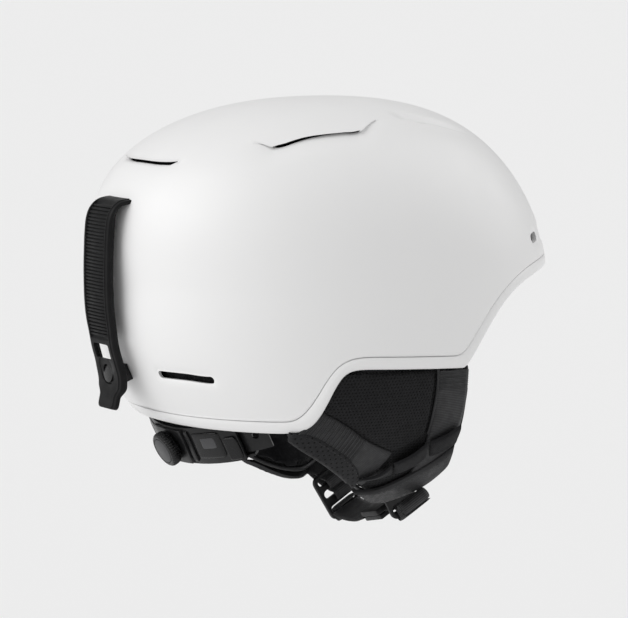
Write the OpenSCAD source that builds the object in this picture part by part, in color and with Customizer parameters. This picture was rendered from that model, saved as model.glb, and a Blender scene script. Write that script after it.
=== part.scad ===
// Ski helmet: hard shell, foam liner, goggle strap clip, dial fit system, ear pads and chin strap.
// Row frame: +X to the front, +Y to the wearer's left, +Z up, origin in the middle of the head opening.

/* [Shell] */
// Half length of the shell
shell_half_length = 139; // [136:1:142]
// Half width of the shell
shell_half_width = 113.5; // [111:0.5:116]
// Height of the crown above the origin
crown_z = 118; // [115:1:121]
// Wall of the hard shell
shell_wall = 2.4; // [2:0.1:3]
// Depth of the impact foam
foam_depth = 23.5; // [22:0.5:26]
// Height of the trim band under the shell
band_height = 7.5; // [6:0.5:9]

/* [Goggle clip] */
// Width of the clip strap
clip_width = 30; // [26:1:34]
// Number of grip ribs
clip_ribs = 38; // [20:1:44]

/* [Fit system] */
// Tilt of the fit ring below horizontal at the back
ring_tilt = 26; // [20:1:30]
// Radius of the sliding arms
arm_radius = 86; // [84:0.5:88]
// Diameter of the dial
dial_diameter = 22; // [20:1:26]

/* [Straps] */
// Width of the webbing
web_width = 20; // [16:1:22]
// Thickness of the webbing
web_thick = 1.6; // [1.2:0.1:2]

/* [Hidden] */

// ---- Skin of the helmet: every layer is this surface, inset by d ----
belt_z = 12.5;          // height of the widest section
lean = 39;              // how strongly the upper sections lie back
plan_power = 2.15;      // squareness of a level section
side_power = 2.4;       // squareness of an upright section
rear_tuck = 0.368;      // how much the back tucks in, per 100 mm down
side_tuck = 0.105;

function spow(v, e) = sign(v) * pow(abs(v), e);

// Point of the skin inset by d, at angle a from the front and height z.
function skin(a, z, d = 0) =
    let (
        t = min(1, max(0, (z - belt_z) / (crown_z - d - belt_z))),
        low = pow(max(0, (belt_z - z) / 100), side_power),
        s = pow(1 - pow(t, side_power), 1 / side_power),
        half_l = (shell_half_length - d) * (cos(a) < 0 ? 1 - rear_tuck * low : 1),
        half_w = (shell_half_width - d) * (1 - side_tuck * low)
    )
    [-lean * pow(t, 1.6) * (1 - t) + half_l * s * spow(cos(a), 2 / plan_power),
     half_w * s * spow(sin(a), 2 / plan_power), z];

// Height of the bottom edge in side view, from the nape, up over the ear, to the brow.
nape_z = -67;
ear_z = -29.6;
temple_z = -33.5;
brow_z = 17.5;
step_x = -54.5;         // middle of the rise behind the ear
step_run = 3.5;         // how gently it rises
ear_x = -42;
temple_x = 32;

function arch_z(x) = ear_z + (temple_z - ear_z) * (x - ear_x) / (temple_x - ear_x);

function edge_z(x) =
    x < temple_x ? nape_z + (arch_z(x) - nape_z) / (1 + exp(-(x - step_x) / step_run))
    : temple_z + (brow_z - temple_z) * (1 - exp(-pow((x - temple_x) / 28, 1.3)));

// The same edge moved up square to itself, where the shell meets the band.
function seam_z(x) =
    max([for (u = [-1:0.125:1]) edge_z(x + u * band_height) + band_height * sqrt(1 - u * u)]);

// Height at angle a where the skin meets an edge, found by repeated substitution.
function meet_edge(a, n = 7) = n == 0 ? -20 : edge_z(skin(a, meet_edge(a, n - 1))[0]);
function meet_seam(a, n = 7) = n == 0 ? -20 : seam_z(skin(a, meet_seam(a, n - 1))[0]);

// Angles round a full ring, closer together where the bottom edge turns.
half_ring = [for (run = [[0:9:45], [50:4:78], [85:9:103], [108:3:129], [136:11:180]]) each run];
ring = concat(half_ring, [for (i = [len(half_ring) - 2:-1:1]) 360 - half_ring[i]]);

// Solid between grids of points: outer[i][j] and inner[i][j]. Closed ones join the last i to the first.
module slab(outer, inner, closed = false) {
    n = len(outer);
    m = len(outer[0]);
    last = closed ? n - 1 : n - 2;
    function o(i, j) = (i % n) * m + j;
    function q(i, j) = n * m + (i % n) * m + j;
    polyhedron(
        points = concat([for (r = outer) each r], [for (r = inner) each r]),
        faces = concat(
            [for (i = [0:last], j = [0:m - 2]) each
                [[o(i, j), o(i + 1, j), o(i + 1, j + 1)], [o(i, j), o(i + 1, j + 1), o(i, j + 1)]]],
            [for (i = [0:last], j = [0:m - 2]) each
                [[q(i, j), q(i + 1, j + 1), q(i + 1, j)], [q(i, j), q(i, j + 1), q(i + 1, j + 1)]]],
            [for (i = [0:last]) each
                [[o(i, 0), q(i, 0), q(i + 1, 0)], [o(i, 0), q(i + 1, 0), o(i + 1, 0)]]],
            [for (i = [0:last]) each
                [[o(i, m - 1), o(i + 1, m - 1), q(i + 1, m - 1)],
                 [o(i, m - 1), q(i + 1, m - 1), q(i, m - 1)]]],
            closed ? [] : [for (j = [0:m - 2]) each
                [[o(0, j), o(0, j + 1), q(0, j + 1)], [o(0, j), q(0, j + 1), q(0, j)]]],
            closed ? [] : [for (j = [0:m - 2]) each
                [[o(n - 1, j), q(n - 1, j), q(n - 1, j + 1)],
                 [o(n - 1, j), q(n - 1, j + 1), o(n - 1, j + 1)]]]));
}

// Dome between two insets of the skin, above the height base[i] at each angle of the ring.
module dome(d_out, d_in, base, rows) {
    n = len(ring);
    function row_z(b, j, d) = b + (crown_z - d - b) * sin(90 * j / rows);
    function side(d, b_up) = [for (i = [0:n - 1], j = [0:rows - 1])
        skin(ring[i], row_z(base[i], j, d), d)];
    o = side(d_out);
    q = side(d_in);
    top_o = 2 * n * rows;
    function at(i, j) = (i % n) * rows + j;
    function qt(i, j) = n * rows + at(i, j);
    polyhedron(
        points = concat(o, q, [[0, 0, crown_z - d_out], [0, 0, crown_z - d_in]]),
        faces = concat(
            [for (i = [0:n - 1], j = [0:rows - 2]) each
                [[at(i, j), at(i + 1, j + 1), at(i + 1, j)], [at(i, j), at(i, j + 1), at(i + 1, j + 1)]]],
            [for (i = [0:n - 1], j = [0:rows - 2]) each
                [[qt(i, j), qt(i + 1, j), qt(i + 1, j + 1)], [qt(i, j), qt(i + 1, j + 1), qt(i, j + 1)]]],
            [for (i = [0:n - 1]) [at(i, rows - 1), top_o, at(i + 1, rows - 1)]],
            [for (i = [0:n - 1]) [qt(i, rows - 1), qt(i + 1, rows - 1), top_o + 1]],
            [for (i = [0:n - 1]) each
                [[at(i, 0), at(i + 1, 0), qt(i + 1, 0)], [at(i, 0), qt(i + 1, 0), qt(i, 0)]]]));
}

// Patch of a layer between two insets, over angles a and heights z, both lists.
module patch(d_out, d_in, a, z) {
    slab([for (i = a) [for (j = z) skin(i, j, d_out)]], [for (i = a) [for (j = z) skin(i, j, d_in)]]);
}

// ---- Vents ----
// Slot with round ends, long along local y and high along local z, cut along local x.
module slot(length, height, depth) {
    rotate([90, 0, 90]) translate([0, 0, -depth]) linear_extrude(depth + 15) {
        square([length - height, height], center = true);
        for (s = [-1, 1]) translate([s * (length - height) / 2, 0]) circle(d = height, $fn = 16);
    }
}

// Each vent: its middle, the turn of its outward direction from +x, its rise, its roll, length and height.
vent_list = [
    [[-117, -48.7, -34.8], 207, 0, 0, 38, 5],
    [[-45, -68, 99.5], -97, -38, 8, 61, 3],
    [[42, -60, 102.5], -86, -48, -13, 46, 3],
    [[122.8, -47.1, 34.5], -26.7, 0, 0, 37.8, 5.6],
    [[101.2, -77.8, 34.5], -48.4, 0, 0, 13.2, 5.4]];

module vents(depth) {
    translate([-118, 0, 84]) rotate([0, 0, 180]) rotate([0, -25, 0]) slot(56, 3.2, depth);
    for (s = [0, 1], v = vent_list) mirror([0, s, 0])
        translate(v[0]) rotate([0, v[2], v[1]]) rotate([v[3], 0, 0]) slot(v[4], v[5], depth);
}

seam_gap = 0.3;

// resize() by nothing keeps the size and joins the cut surface into one mesh.
module as_mesh() resize([0, 0, 0]) children();

module outer_shell() {
    color("white") as_mesh() difference() {
        dome(0, shell_wall, [for (a = ring) meet_seam(a) + seam_gap], 11);
        vents(12);
    }
}

// Section of the band: outside wall, rolled bottom edge and a lip under the foam.
lip_depth = 6;

module rim_band() {
    function section(a) = let (e = meet_edge(a), s = meet_seam(a) - seam_gap) [
        skin(a, s, 0), skin(a, e + 2.2, 0), skin(a, e + 0.7, 0.6), skin(a, e, 2.2),
        skin(a, e, lip_depth)];
    function inside(a) = let (e = meet_edge(a), s = meet_seam(a) - seam_gap) [
        skin(a, s, shell_wall), skin(a, e + 3.6, shell_wall), skin(a, e + 2.6, 2.8),
        skin(a, e + 2, 3.8), skin(a, e + 2, lip_depth)];
    color("white") slab([for (a = ring) section(a)], [for (a = ring) inside(a)], closed = true);
}

foam_out = shell_wall + 1;
foam_in = foam_out + foam_depth;

module foam_liner() {
    color([0.09, 0.09, 0.1]) as_mesh() difference() {
        dome(foam_out, foam_in, [for (a = ring) meet_edge(a) + 4], 8);
        vents(60);
        // Room for the fit system at the back
        ring_frame() arc(-55, 55, -6, 8, -15, 14);
        translate([-96, -15, -80]) cube([20, 30, 52]);
    }
}

module slip_liner() {
    function low_edge(a) = max(meet_edge(a) + 16, -18);
    color([0.75, 0.76, 0.78]) as_mesh() difference() {
        dome(foam_in + 1.3, foam_in + 2.1, [for (a = ring) low_edge(a)], 6);
        vents(60);
    }
}

// Buttons that hold the slip liner, clear of the comfort pads.
anchor_spots = [[10, 64], [-10, 64], [150, 20], [-150, 20]];

module slip_anchors() {
    color([0.2, 0.2, 0.22]) for (p = anchor_spots)
        patch(foam_in + 3.3, foam_in + 4.5, [for (i = [-2:2]) p[0] + i * 2.4],
            [for (i = [-2:2]) p[1] + i * 3]);
}

// ---- Comfort padding ----
pad_out = foam_in + 3.5;
pad_depth = 6.2;

module crown_pad() {
    color([0.12, 0.12, 0.13]) for (s = [-1, 1])
        patch(pad_out, pad_out + pad_depth, [for (i = [0:8]) s * 90 - 68 + i * 17], [55, 62, 69, 75, 80]);
}

module brow_pad() {
    color([0.12, 0.12, 0.13]) patch(pad_out, pad_out + pad_depth, [-56:8:56], [20, 29, 38, 47]);
}

module side_pad_right() {
    color([0.12, 0.12, 0.13])
        patch(pad_out, pad_out + pad_depth, [for (i = [0:6]) -118 + i * 9], [-6, 6, 18, 30, 42]);
}

module side_pad_left() mirror([0, 1, 0]) side_pad_right();

// ---- Goggle strap clip ----
clip_pin_at = [-147, 0, 54];
knuckle_width = 14;
ear_width = clip_width / 2 - knuckle_width / 2 - 0.3;

module clip_base() {
    color([0.1, 0.1, 0.11]) difference() {
        union() {
            // Bridge from the shell out to the pin
            translate([0, clip_width / 2, 0]) rotate([90, 0, 0]) linear_extrude(clip_width)
                polygon(concat([for (z = [50:3:65]) [skin(180, z)[0] - 0.5, z]],
                    [[-139.5, 62.6], [-142.6, 58.6], [-143, 54], [-142, 50]]));
            // Ears round the pin
            for (s = [0, 1]) mirror([0, s, 0])
                translate([clip_pin_at[0], knuckle_width / 2 + 0.3, clip_pin_at[2]]) {
                    rotate([-90, 0, 0]) cylinder(r = 3.2, h = ear_width, $fn = 40);
                    translate([0, 0, -3]) cube([5, ear_width, 6]);
                }
        }
        translate(clip_pin_at) rotate([90, 0, 0])
            cylinder(r = 1.25, h = clip_width + 2, $fn = 32, center = true);
    }
}

module clip_pin() {
    color("silver") translate(clip_pin_at) rotate([90, 0, 0])
        cylinder(r = 1.2, h = clip_width - 0.4, $fn = 32, center = true);
}

// Side view of the strap from the pin down to the pull tab: outside face down, inside face up.
strap_outside = [[-150.2, 49.5], [-150.5, 40], [-150.7, 20], [-149.9, 0], [-146.4, -22], [-143.2, -32],
    [-141.4, -43], [-142.4, -50], [-144.4, -57.5]];
strap_inside = [[-140.2, -59], [-138.6, -50], [-136.8, -43], [-138, -32], [-141.2, -21], [-144.8, 0],
    [-145.4, 20], [-145.2, 40], [-144.8, 49.5]];
window_z = [-28, -19];
keyhole_z = -36.5;

module clip_strap() {
    color([0.1, 0.1, 0.11]) difference() {
        union() {
            translate([0, clip_width / 2, 0]) rotate([90, 0, 0]) linear_extrude(clip_width)
                polygon(concat(strap_outside, strap_inside));
            translate(clip_pin_at) rotate([90, 0, 0])
                cylinder(r = 3, h = knuckle_width, $fn = 40, center = true);
            translate([-150, -knuckle_width / 2, 49]) cube([5, knuckle_width, 5]);
        }
        translate(clip_pin_at) rotate([90, 0, 0]) cylinder(r = 1.25, h = clip_width, $fn = 32, center = true);
        // Seat of the ribbed grip
        translate([0, grip_width / 2, 0]) rotate([90, 0, 0]) linear_extrude(grip_width)
            polygon(concat([for (z = [46:-6:-14]) [outside_x(z) + 1.4, z]], [[-160, -14], [-160, 46]]));
        // Window over the stud, and the keyhole that the stud sits in
        translate([-160, -6, window_z[0]]) cube([30, 12, window_z[1] - window_z[0]]);
        translate([-160, -6.5, keyhole_z - 7]) cube([30, 13, 10]);
        translate([-160, 0, keyhole_z]) rotate([0, 90, 0]) cylinder(r = 7.2, h = 30, $fn = 48);
    }
}

// X of the strap's outside face at height z.
function outside_x(z) = lookup(z, [for (p = strap_outside) [p[1], p[0]]]);

grip_width = 21;
grip_top = 45.6;
grip_bottom = -13.6;

// Ribbed pad: one extruded side view with square teeth.
module clip_grip() {
    pitch = (grip_top - grip_bottom) / clip_ribs;
    teeth = [for (i = [0:clip_ribs - 1]) let (z = grip_top - i * pitch) each
        [[outside_x(z) - 0.5, z], [outside_x(z) - 0.5, z - pitch * 0.55],
         [outside_x(z) + 0.3, z - pitch * 0.55], [outside_x(z) + 0.3, z - pitch]]];
    back = [for (z = [grip_bottom:(grip_top - grip_bottom) / 8:grip_top + 0.01]) [outside_x(z) + 1.2, z]];
    color([0.14, 0.14, 0.15]) translate([0, grip_width / 2 - 0.2, 0]) rotate([90, 0, 0])
        linear_extrude(grip_width - 0.4) polygon(concat(teeth, back));
}

// Stud that the keyhole drops over, on a pad that follows the shell.
module clip_stud() {
    color([0.16, 0.16, 0.17]) {
        translate([-136.4, 0, keyhole_z]) rotate([0, -90, 0]) cylinder(r = 3.2, h = 3.4, $fn = 40);
        translate([-139.6, 0, keyhole_z]) rotate([0, -90, 0]) cylinder(r = 5.6, h = 2.4, $fn = 48);
        difference() {
            translate([-136.4, -5, keyhole_z - 7]) cube([8, 10, 12]);
            translate([0, 15, 0]) rotate([90, 0, 0]) linear_extrude(30)
                polygon(concat([for (z = [-54:4:-18]) [skin(180, z)[0] - 0.4, z]],
                    [[-100, -18], [-100, -54]]));
            translate([-150, -20, keyhole_z - 12]) rotate([0, -20, 0]) translate([0, 0, -8])
                cube([30, 40, 8]);
        }
    }
}

// ---- Fit system: local frame with the arms' arc round the origin and its back at -x ----
// Angles count from the back towards the wearer's right; radii are from the arms' inside face.
ring_back = [-94, 0, -79];      // middle of the arms' inside face at the back
pinion_teeth = 12;
pinion_radius = 6;      // pitch radius
rack_half = 11;         // half angle of a rack's beam
arm_wide = 34;          // angle where an arm takes its full height
arm_end = 45;
yoke_half = 37;

module ring_frame() translate(ring_back) rotate([0, -ring_tilt, 0]) translate([arm_radius, 0, 0]) children();

// Arc of a rectangular section from angle a0 to a1, radii r0 to r1 and heights z0 to z1.
module arc(a0, a1, r0, r1, z0, z1) {
    rotate([0, 0, 180 + a0]) rotate_extrude(angle = a1 - a0, $fn = 120)
        translate([arm_radius + r0, z0]) square([r1 - r0, z1 - z0]);
}

// Turned piece or gear at the back of the ring: local z points out to the back.
module at_back(r) translate([-arm_radius - r, 0, 0]) rotate([0, -90, 0]) children();

module cradle_yoke() {
    color([0.1, 0.1, 0.11]) {
        ring_frame() difference() {
            union() {
                arc(-yoke_half, yoke_half, -3.2, -0.8, -12, 12);
                // Rails above and below the arms
                for (z = [-12, 10.4]) arc(-yoke_half, yoke_half, -0.8, 2.6, z, z + 1.6);
            }
            at_back(-8) cylinder(r = 2.6, h = 16, $fn = 40);
        }
        // Tongue that slides in the height rail, and the web that carries it
        translate([-88.4, -9, -69]) cube([2, 18, 36]);
        translate([0, 9, 0]) rotate([90, 0, 0]) linear_extrude(18)
            polygon([[-97.4, -67.4], [-86.4, -66], [-86.4, -69], [-95.6, -71]]);
    }
}

module height_rail() {
    color([0.16, 0.16, 0.17]) difference() {
        translate([-91.4, -13, -58]) cube([8, 26, 30]);
        translate([-88.8, -9.4, -64]) cube([2.8, 18.8, 40]);
        translate([-87, -6, -64]) cube([8, 12, 40]);
    }
}

module dial_cover() {
    color([0.12, 0.12, 0.13]) ring_frame() difference() {
        union() {
            arc(-34, 34, 2.9, 5, -12, 12);
            arc(-9, 9, 5, 7, -11, 11);
        }
        at_back(0) cylinder(r = 3.8, h = 12, $fn = 40);
    }
}

module nape_pad() {
    color([0.15, 0.15, 0.16]) ring_frame() for (s = [0, 1]) mirror([0, s, 0]) arc(7, 27, -9.5, -3.5, -10, 9);
}

// One arm with its rack: up = 1 has the rack over the pinion, up = -1 under it.
module arm(up) {
    tooth = [[-1, 7.4], [-0.8, 6.9], [-0.3, 5.3], [0.3, 5.3], [0.8, 6.9], [1, 7.4]];
    pitch = 360 * pinion_radius / pinion_teeth / (arm_radius + 0.8);
    difference() {
        union() {
            arc(arm_wide, arm_end, 0, 1.6, -9.5, 9.5);
            arc(-rack_half, arm_wide + 1, 0.1, 1.5, up > 0 ? 7 : -9.3, up > 0 ? 9.3 : -7);
            for (k = [-5:4]) rotate([0, 0, (k + 0.5) * pitch]) translate([-arm_radius - 1.3, 0, 0])
                rotate([90, 0, 90]) linear_extrude(1) polygon([for (p = tooth) [p[0], up * p[1]]]);
        }
        rotate([0, 0, arm_end - 5]) at_back(-10) cylinder(r = 2.2, h = 20, $fn = 32);
    }
}

module arm_right() color([0.13, 0.13, 0.14]) ring_frame() arm(1);
module arm_left() color([0.13, 0.13, 0.14]) ring_frame() mirror([0, 1, 0]) arm(-1);

module dial_pinion() {
    color([0.3, 0.3, 0.32]) ring_frame() at_back(-0.4) {
        translate([0, 0, -3.4]) cylinder(r = 2.5, h = 3.5, $fn = 40);
        cylinder(r = 4.6, h = 2.2, $fn = 40);
        for (k = [0:pinion_teeth - 1]) rotate([0, 0, k * 360 / pinion_teeth])
            linear_extrude(2.2)
                polygon([[4.4, -1], [6, -0.62], [6.6, -0.3], [6.6, 0.3], [6, 0.62], [4.4, 1]]);
        translate([0, 0, 2.1]) cylinder(r = 3.5, h = 8, $fn = 40);
    }
}

dial_depth = 6.6;
cap_r = dial_diameter / 2 - 3.4;

module dial_knob() {
    color([0.1, 0.1, 0.11]) ring_frame() at_back(7.4) difference() {
        union() {
            cylinder(r = dial_diameter / 2 - 1.4, h = dial_depth, $fn = 96);
            for (k = [0:17]) rotate([0, 0, k * 20]) translate([dial_diameter / 2 - 1.4, 0, 0.6])
                cylinder(r = 1.4, h = dial_depth - 1.2, $fn = 24);
        }
        translate([0, 0, -1]) cylinder(r = 3.6, h = 3.4, $fn = 40);
        translate([0, 0, dial_depth - 1.4]) cylinder(r = cap_r + 0.2, h = 3, $fn = 96);
    }
}

module dial_cap() color([0.3, 0.3, 0.31]) ring_frame() at_back(6.1 + dial_depth)
    cylinder(r = cap_r, h = 1.5, $fn = 96);

// ---- Ear pads: a slab whose outside face curls in towards the jaw ----
pad_thick = 9;
lining_thick = 5.5;
pad_top_y = 106;        // outside face at the top
pad_curl = 57;          // how far the bottom curls in
pad_drop = 82;

// Distance of the pad's outside face from the middle plane, at x and z.
function pad_y(x, z) =
    let (u = (-33 - z) / pad_drop)
    (pad_top_y - pad_curl * (0.3 * u + 0.7 * pow(max(0, u), 3)))
    * pow(1 - pow(abs(x) / shell_half_length, plan_power), 1 / plan_power);

// Side view of the pad: top edge under the foam, bottom edge as a run of points.
pad_x = [-71, -66, -60, -54, -48, -42, -34, -24, -14, -5, 4, 14, 24, 33, 39, 42.5];
pad_low = [[-71, -70], [-64, -75], [-54, -81], [-40, -89.5], [-24, -99.5], [-14, -106], [-5, -111], [4, -114],
    [14, -115], [24, -112.5], [33, -108.5], [39, -103.5], [42.5, -95]];
function low_z(x) = lookup(x, pad_low);
function pad_top(x, back = 5) = edge_z(x < -30 ? x - back : x) - 0.4 - max(0, x - 30) * 0.8;
pad_rows = 7;

function pad_grid(off, grow = 0, back = 5) = [for (x = pad_x) [for (j = [0:pad_rows])
    let (top = pad_top(x, back), z = top + (low_z(x) + grow - top) * j / pad_rows) [x, -(pad_y(x, z) + off), z]]];

module ear_pad_right() {
    color([0.11, 0.11, 0.12]) slab(pad_grid(0), pad_grid(-pad_thick));
}

module ear_lining_right() {
    color([0.16, 0.16, 0.17])
        slab(pad_grid(-pad_thick - 0.2, 0, 12), pad_grid(-pad_thick - lining_thick, 2, 12));
}

module ear_pad_left() mirror([0, 1, 0]) ear_pad_right();
module ear_lining_left() mirror([0, 1, 0]) ear_lining_right();

// Band along the front half of the bottom edge, outside the straps.
band_x = [for (i = [0:10]) -12 + i * 5.2];

module ear_band_right() {
    function row(x, off, rise) = [x, -(pad_y(x, low_z(x) + rise) + off), low_z(x) + rise];
    color([0.2, 0.2, 0.21]) slab(
        [for (x = band_x) [for (rise = [15, 11, 7, 3.5, 0.5]) row(x, 4.4, rise)]],
        [for (x = band_x) [for (rise = [15, 11, 7, 3.5, 0.5]) row(x, 2.9, rise)]]);
}

module ear_band_left() mirror([0, 1, 0]) ear_band_right();

// Three loops over the straps, above the band.
loop_x = [-8, 9, 26];

function loop_row(x, off) =
    [for (rise = [34, 29, 24, 18]) let (z = low_z(x) + rise) [x, -(pad_y(x, z) + off), z]];

module ear_loops_right() {
    color([0.1, 0.1, 0.11]) for (start = loop_x) {
        x = [for (k = [0:4]) start - 1 + k * 3.75];
        slab([for (u = x) loop_row(u, 4.6)], [for (u = x) loop_row(u, 3)]);
    }
}

module ear_loops_left() mirror([0, 1, 0]) ear_loops_right();

stud_x = [-30, -6, 22];

module ear_studs_right() {
    color([0.3, 0.3, 0.31]) for (x = stud_x)
        translate([x, -pad_y(x, edge_z(x)) + 5, pad_top(x) + 0.7]) cylinder(r = 2.5, h = 2.4, $fn = 32);
}

module ear_studs_left() mirror([0, 1, 0]) ear_studs_right();

// ---- Straps ----
web_gap = 0.7;          // between a strap and the pad under it

// Flat strap over the pad along points p = [x, z], with its width along w = [x, z] there.
module web_on_pad(p, w) {
    function side(off) = [for (i = [0:len(p) - 1]) [for (s = [-1, -0.33, 0.33, 1])
        let (x = p[i][0] + s * w[i][0] * web_width / 2, z = p[i][1] + s * w[i][1] * web_width / 2)
        [x, -(pad_y(x, z) + off), z]]];
    slab(side(web_gap + web_thick), side(web_gap));
}

module front_strap_right() {
    color([0.13, 0.13, 0.14]) web_on_pad(
        [[31, -36], [31, -46], [31, -56], [30, -66], [29, -76], [28, -86], [27, -96], [26, -106], [25, -113]],
        [for (i = [0:8]) [1, 0.06 * i]]);
}

module rear_strap_right() {
    color([0.13, 0.13, 0.14]) web_on_pad(
        [[-49, -54], [-42, -60], [-33, -67], [-24, -74], [-15, -80.5], [-6, -86.5], [3, -92], [7, -94]],
        [for (i = [0:7]) [0.6, 0.8]]);
}

module front_strap_left() mirror([0, 1, 0]) front_strap_right();
module rear_strap_left() mirror([0, 1, 0]) rear_strap_right();

module strap_rivets() {
    color("silver") for (s = [0, 1], x = [31, -38]) mirror([0, s, 0])
        translate([x, -pad_y(x, edge_z(x)) + 6, edge_z(x) + 0.9]) cylinder(r = 3, h = 1.2, $fn = 32);
}

// Divider plates at the pads' lower edges: width along x, height along z, front edge rolled up.
strap_roll = 30;        // turn of the front edge upwards, for the dividers, strap and buckle
divider_lean = 5;
left_divider = [34, 37, -126];
right_divider = [34, -35, -115];

module divider_plate(at, side) {
    color([0.08, 0.08, 0.09]) translate(at) rotate([-side * divider_lean, 0, 0]) rotate([0, -strap_roll, 0])
        difference() {
            translate([-12, -1.5, -15.5]) cube([24, 3, 30.5]);
            for (z = [10.6, 1.8]) translate([-9, -5, z - 2.4]) cube([18, 10, 4.8]);
            translate([-10.3, -5, -10.8]) cube([20.6, 10, 4.4]);
        }
}

module strap_divider_right() divider_plate(right_divider, -1);
module strap_divider_left() divider_plate(left_divider, 1);

chin_x = 38;
left_chin = [[32.5, -134.4], [27, -135.4], [20, -135.7], [12, -135.2], [6, -134.2], [0.2, -132.3]];
right_chin = [[-24.8, -123.4], [-28, -122.5], [-31.4, -121.5]];

// Chin strap along points p = [y, z], with its front edge rolled up.
module chin_web(p) {
    wx = cos(strap_roll) * web_width / 2;
    wz = sin(strap_roll) * web_width / 2;
    slab([for (q = p) [for (s = [-1, 0, 1]) [chin_x + s * wx, q[0], q[1] + s * wz]]],
         [for (q = p) [for (s = [-1, 0, 1]) [chin_x + s * wx, q[0], q[1] + s * wz - web_thick]]]);
}

module chin_strap_right() color([0.13, 0.13, 0.14]) chin_web(right_chin);
module chin_strap_left() color([0.13, 0.13, 0.14]) chin_web(left_chin);

// Free end of the strap, rolled up beside the right divider.
module strap_tail() {
    color([0.13, 0.13, 0.14]) translate([26.5, -62.5, -117.5]) rotate([0, 60, 0])
        cylinder(r = 4.8, h = 19, $fn = 40, center = true);
}

// Snap buckle: the socket's flat face looks down on the tongue's, with a magnet in each.
buckle_slope = 14;
buckle_long = 23;
magnet_r = 4;

module buckle_frame() {
    translate([chin_x, -12, -129]) rotate([0, -strap_roll, 0]) rotate([-buckle_slope, 0, 0]) children();
}

module buckle_socket() {
    color([0.09, 0.09, 0.1]) buckle_frame() difference() {
        translate([-11.5, -buckle_long / 2 - 1, 0.4]) cube([23, buckle_long, 3.6]);
        translate([0, 0, -1]) cylinder(r = magnet_r + 0.05, h = 3, $fn = 40);
    }
}

module magnet(z) {
    color("silver") buckle_frame() translate([0, 0, z]) cylinder(r = magnet_r, h = 1.5, $fn = 40);
}

module socket_magnet() magnet(0.45);

module buckle_tongue() {
    color([0.09, 0.09, 0.1]) buckle_frame() difference() {
        translate([-10.5, -buckle_long / 2, -3]) cube([21, buckle_long, 3]);
        translate([0, 0, -2]) cylinder(r = magnet_r + 0.05, h = 3, $fn = 40);
    }
}

module tongue_magnet() magnet(-1.6);

outer_shell();
rim_band();
foam_liner();
slip_liner();
slip_anchors();
crown_pad();
brow_pad();
side_pad_left();
side_pad_right();
clip_base();
clip_pin();
clip_stud();
clip_strap();
clip_grip();
height_rail();
cradle_yoke();
dial_cover();
nape_pad();
arm_right();
arm_left();
dial_pinion();
dial_knob();
dial_cap();
ear_pad_right();
ear_pad_left();
ear_lining_right();
ear_lining_left();
ear_band_right();
ear_band_left();
ear_loops_right();
ear_loops_left();
ear_studs_right();
ear_studs_left();
front_strap_right();
front_strap_left();
rear_strap_right();
rear_strap_left();
strap_rivets();
strap_divider_right();
strap_divider_left();
chin_strap_right();
strap_tail();
buckle_socket();
socket_magnet();
chin_strap_left();
buckle_tongue();
tongue_magnet();
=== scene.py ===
import math

import bmesh
import bpy
import numpy as np
from mathutils import Matrix, Vector


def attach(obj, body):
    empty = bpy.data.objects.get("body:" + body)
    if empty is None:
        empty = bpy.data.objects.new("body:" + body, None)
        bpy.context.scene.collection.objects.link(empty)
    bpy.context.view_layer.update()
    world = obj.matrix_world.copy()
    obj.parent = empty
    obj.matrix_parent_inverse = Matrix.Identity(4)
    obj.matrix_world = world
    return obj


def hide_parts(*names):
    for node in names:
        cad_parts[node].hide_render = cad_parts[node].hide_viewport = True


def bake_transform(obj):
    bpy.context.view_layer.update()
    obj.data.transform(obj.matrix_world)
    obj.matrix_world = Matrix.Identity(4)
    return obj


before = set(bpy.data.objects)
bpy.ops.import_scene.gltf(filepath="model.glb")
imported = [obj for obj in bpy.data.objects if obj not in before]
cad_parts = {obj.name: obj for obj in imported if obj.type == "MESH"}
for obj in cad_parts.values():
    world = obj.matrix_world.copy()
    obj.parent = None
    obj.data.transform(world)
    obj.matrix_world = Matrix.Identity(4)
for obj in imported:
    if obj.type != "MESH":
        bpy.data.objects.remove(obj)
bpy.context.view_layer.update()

MM = 0.001

# ---------------------------------------------------------------------------
# The skin of the helmet, in millimetres: the same surface as the CAD's
# ---------------------------------------------------------------------------
HALF_L, HALF_W, CROWN, BELT = 139.0, 113.5, 118.0, 12.5
LEAN, PLAN, SIDE, REAR_TUCK, SIDE_TUCK = 39.0, 2.15, 2.4, 0.368, 0.105
WALL, BAND, LIP = 2.4, 7.5, 6.0
FOAM_IN = 26.9
SEAM_GAP = 0.2


def spow(v, e):
    return np.sign(v) * np.abs(v) ** e


def skin(a, z, d=0.0):
    """Points of the skin inset by d, at angle a in degrees from the front and height z."""
    a, z, d = np.broadcast_arrays(np.radians(a), np.asarray(z, float), d)
    t = np.clip((z - BELT) / (CROWN - d - BELT), 0, 1)
    low = np.clip((BELT - z) / 100, 0, None) ** SIDE
    s = np.clip(1 - t**SIDE, 0, 1) ** (1 / SIDE)
    half_l = (HALF_L - d) * np.where(np.cos(a) < 0, 1 - REAR_TUCK * low, 1)
    half_w = (HALF_W - d) * (1 - SIDE_TUCK * low)
    x = -LEAN * t**1.6 * (1 - t) + half_l * s * spow(np.cos(a), 2 / PLAN)
    return np.stack([x, half_w * s * spow(np.sin(a), 2 / PLAN), z], -1)


NAPE_Z, EAR_Z, TEMPLE_Z, BROW_Z = -67.0, -29.6, -33.5, 17.5
STEP_X, STEP_RUN, EAR_X, TEMPLE_X = -54.5, 3.5, -42.0, 32.0


def smooth(t):
    t = np.clip(t, 0, 1)
    return t * t * (3 - 2 * t)


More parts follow.
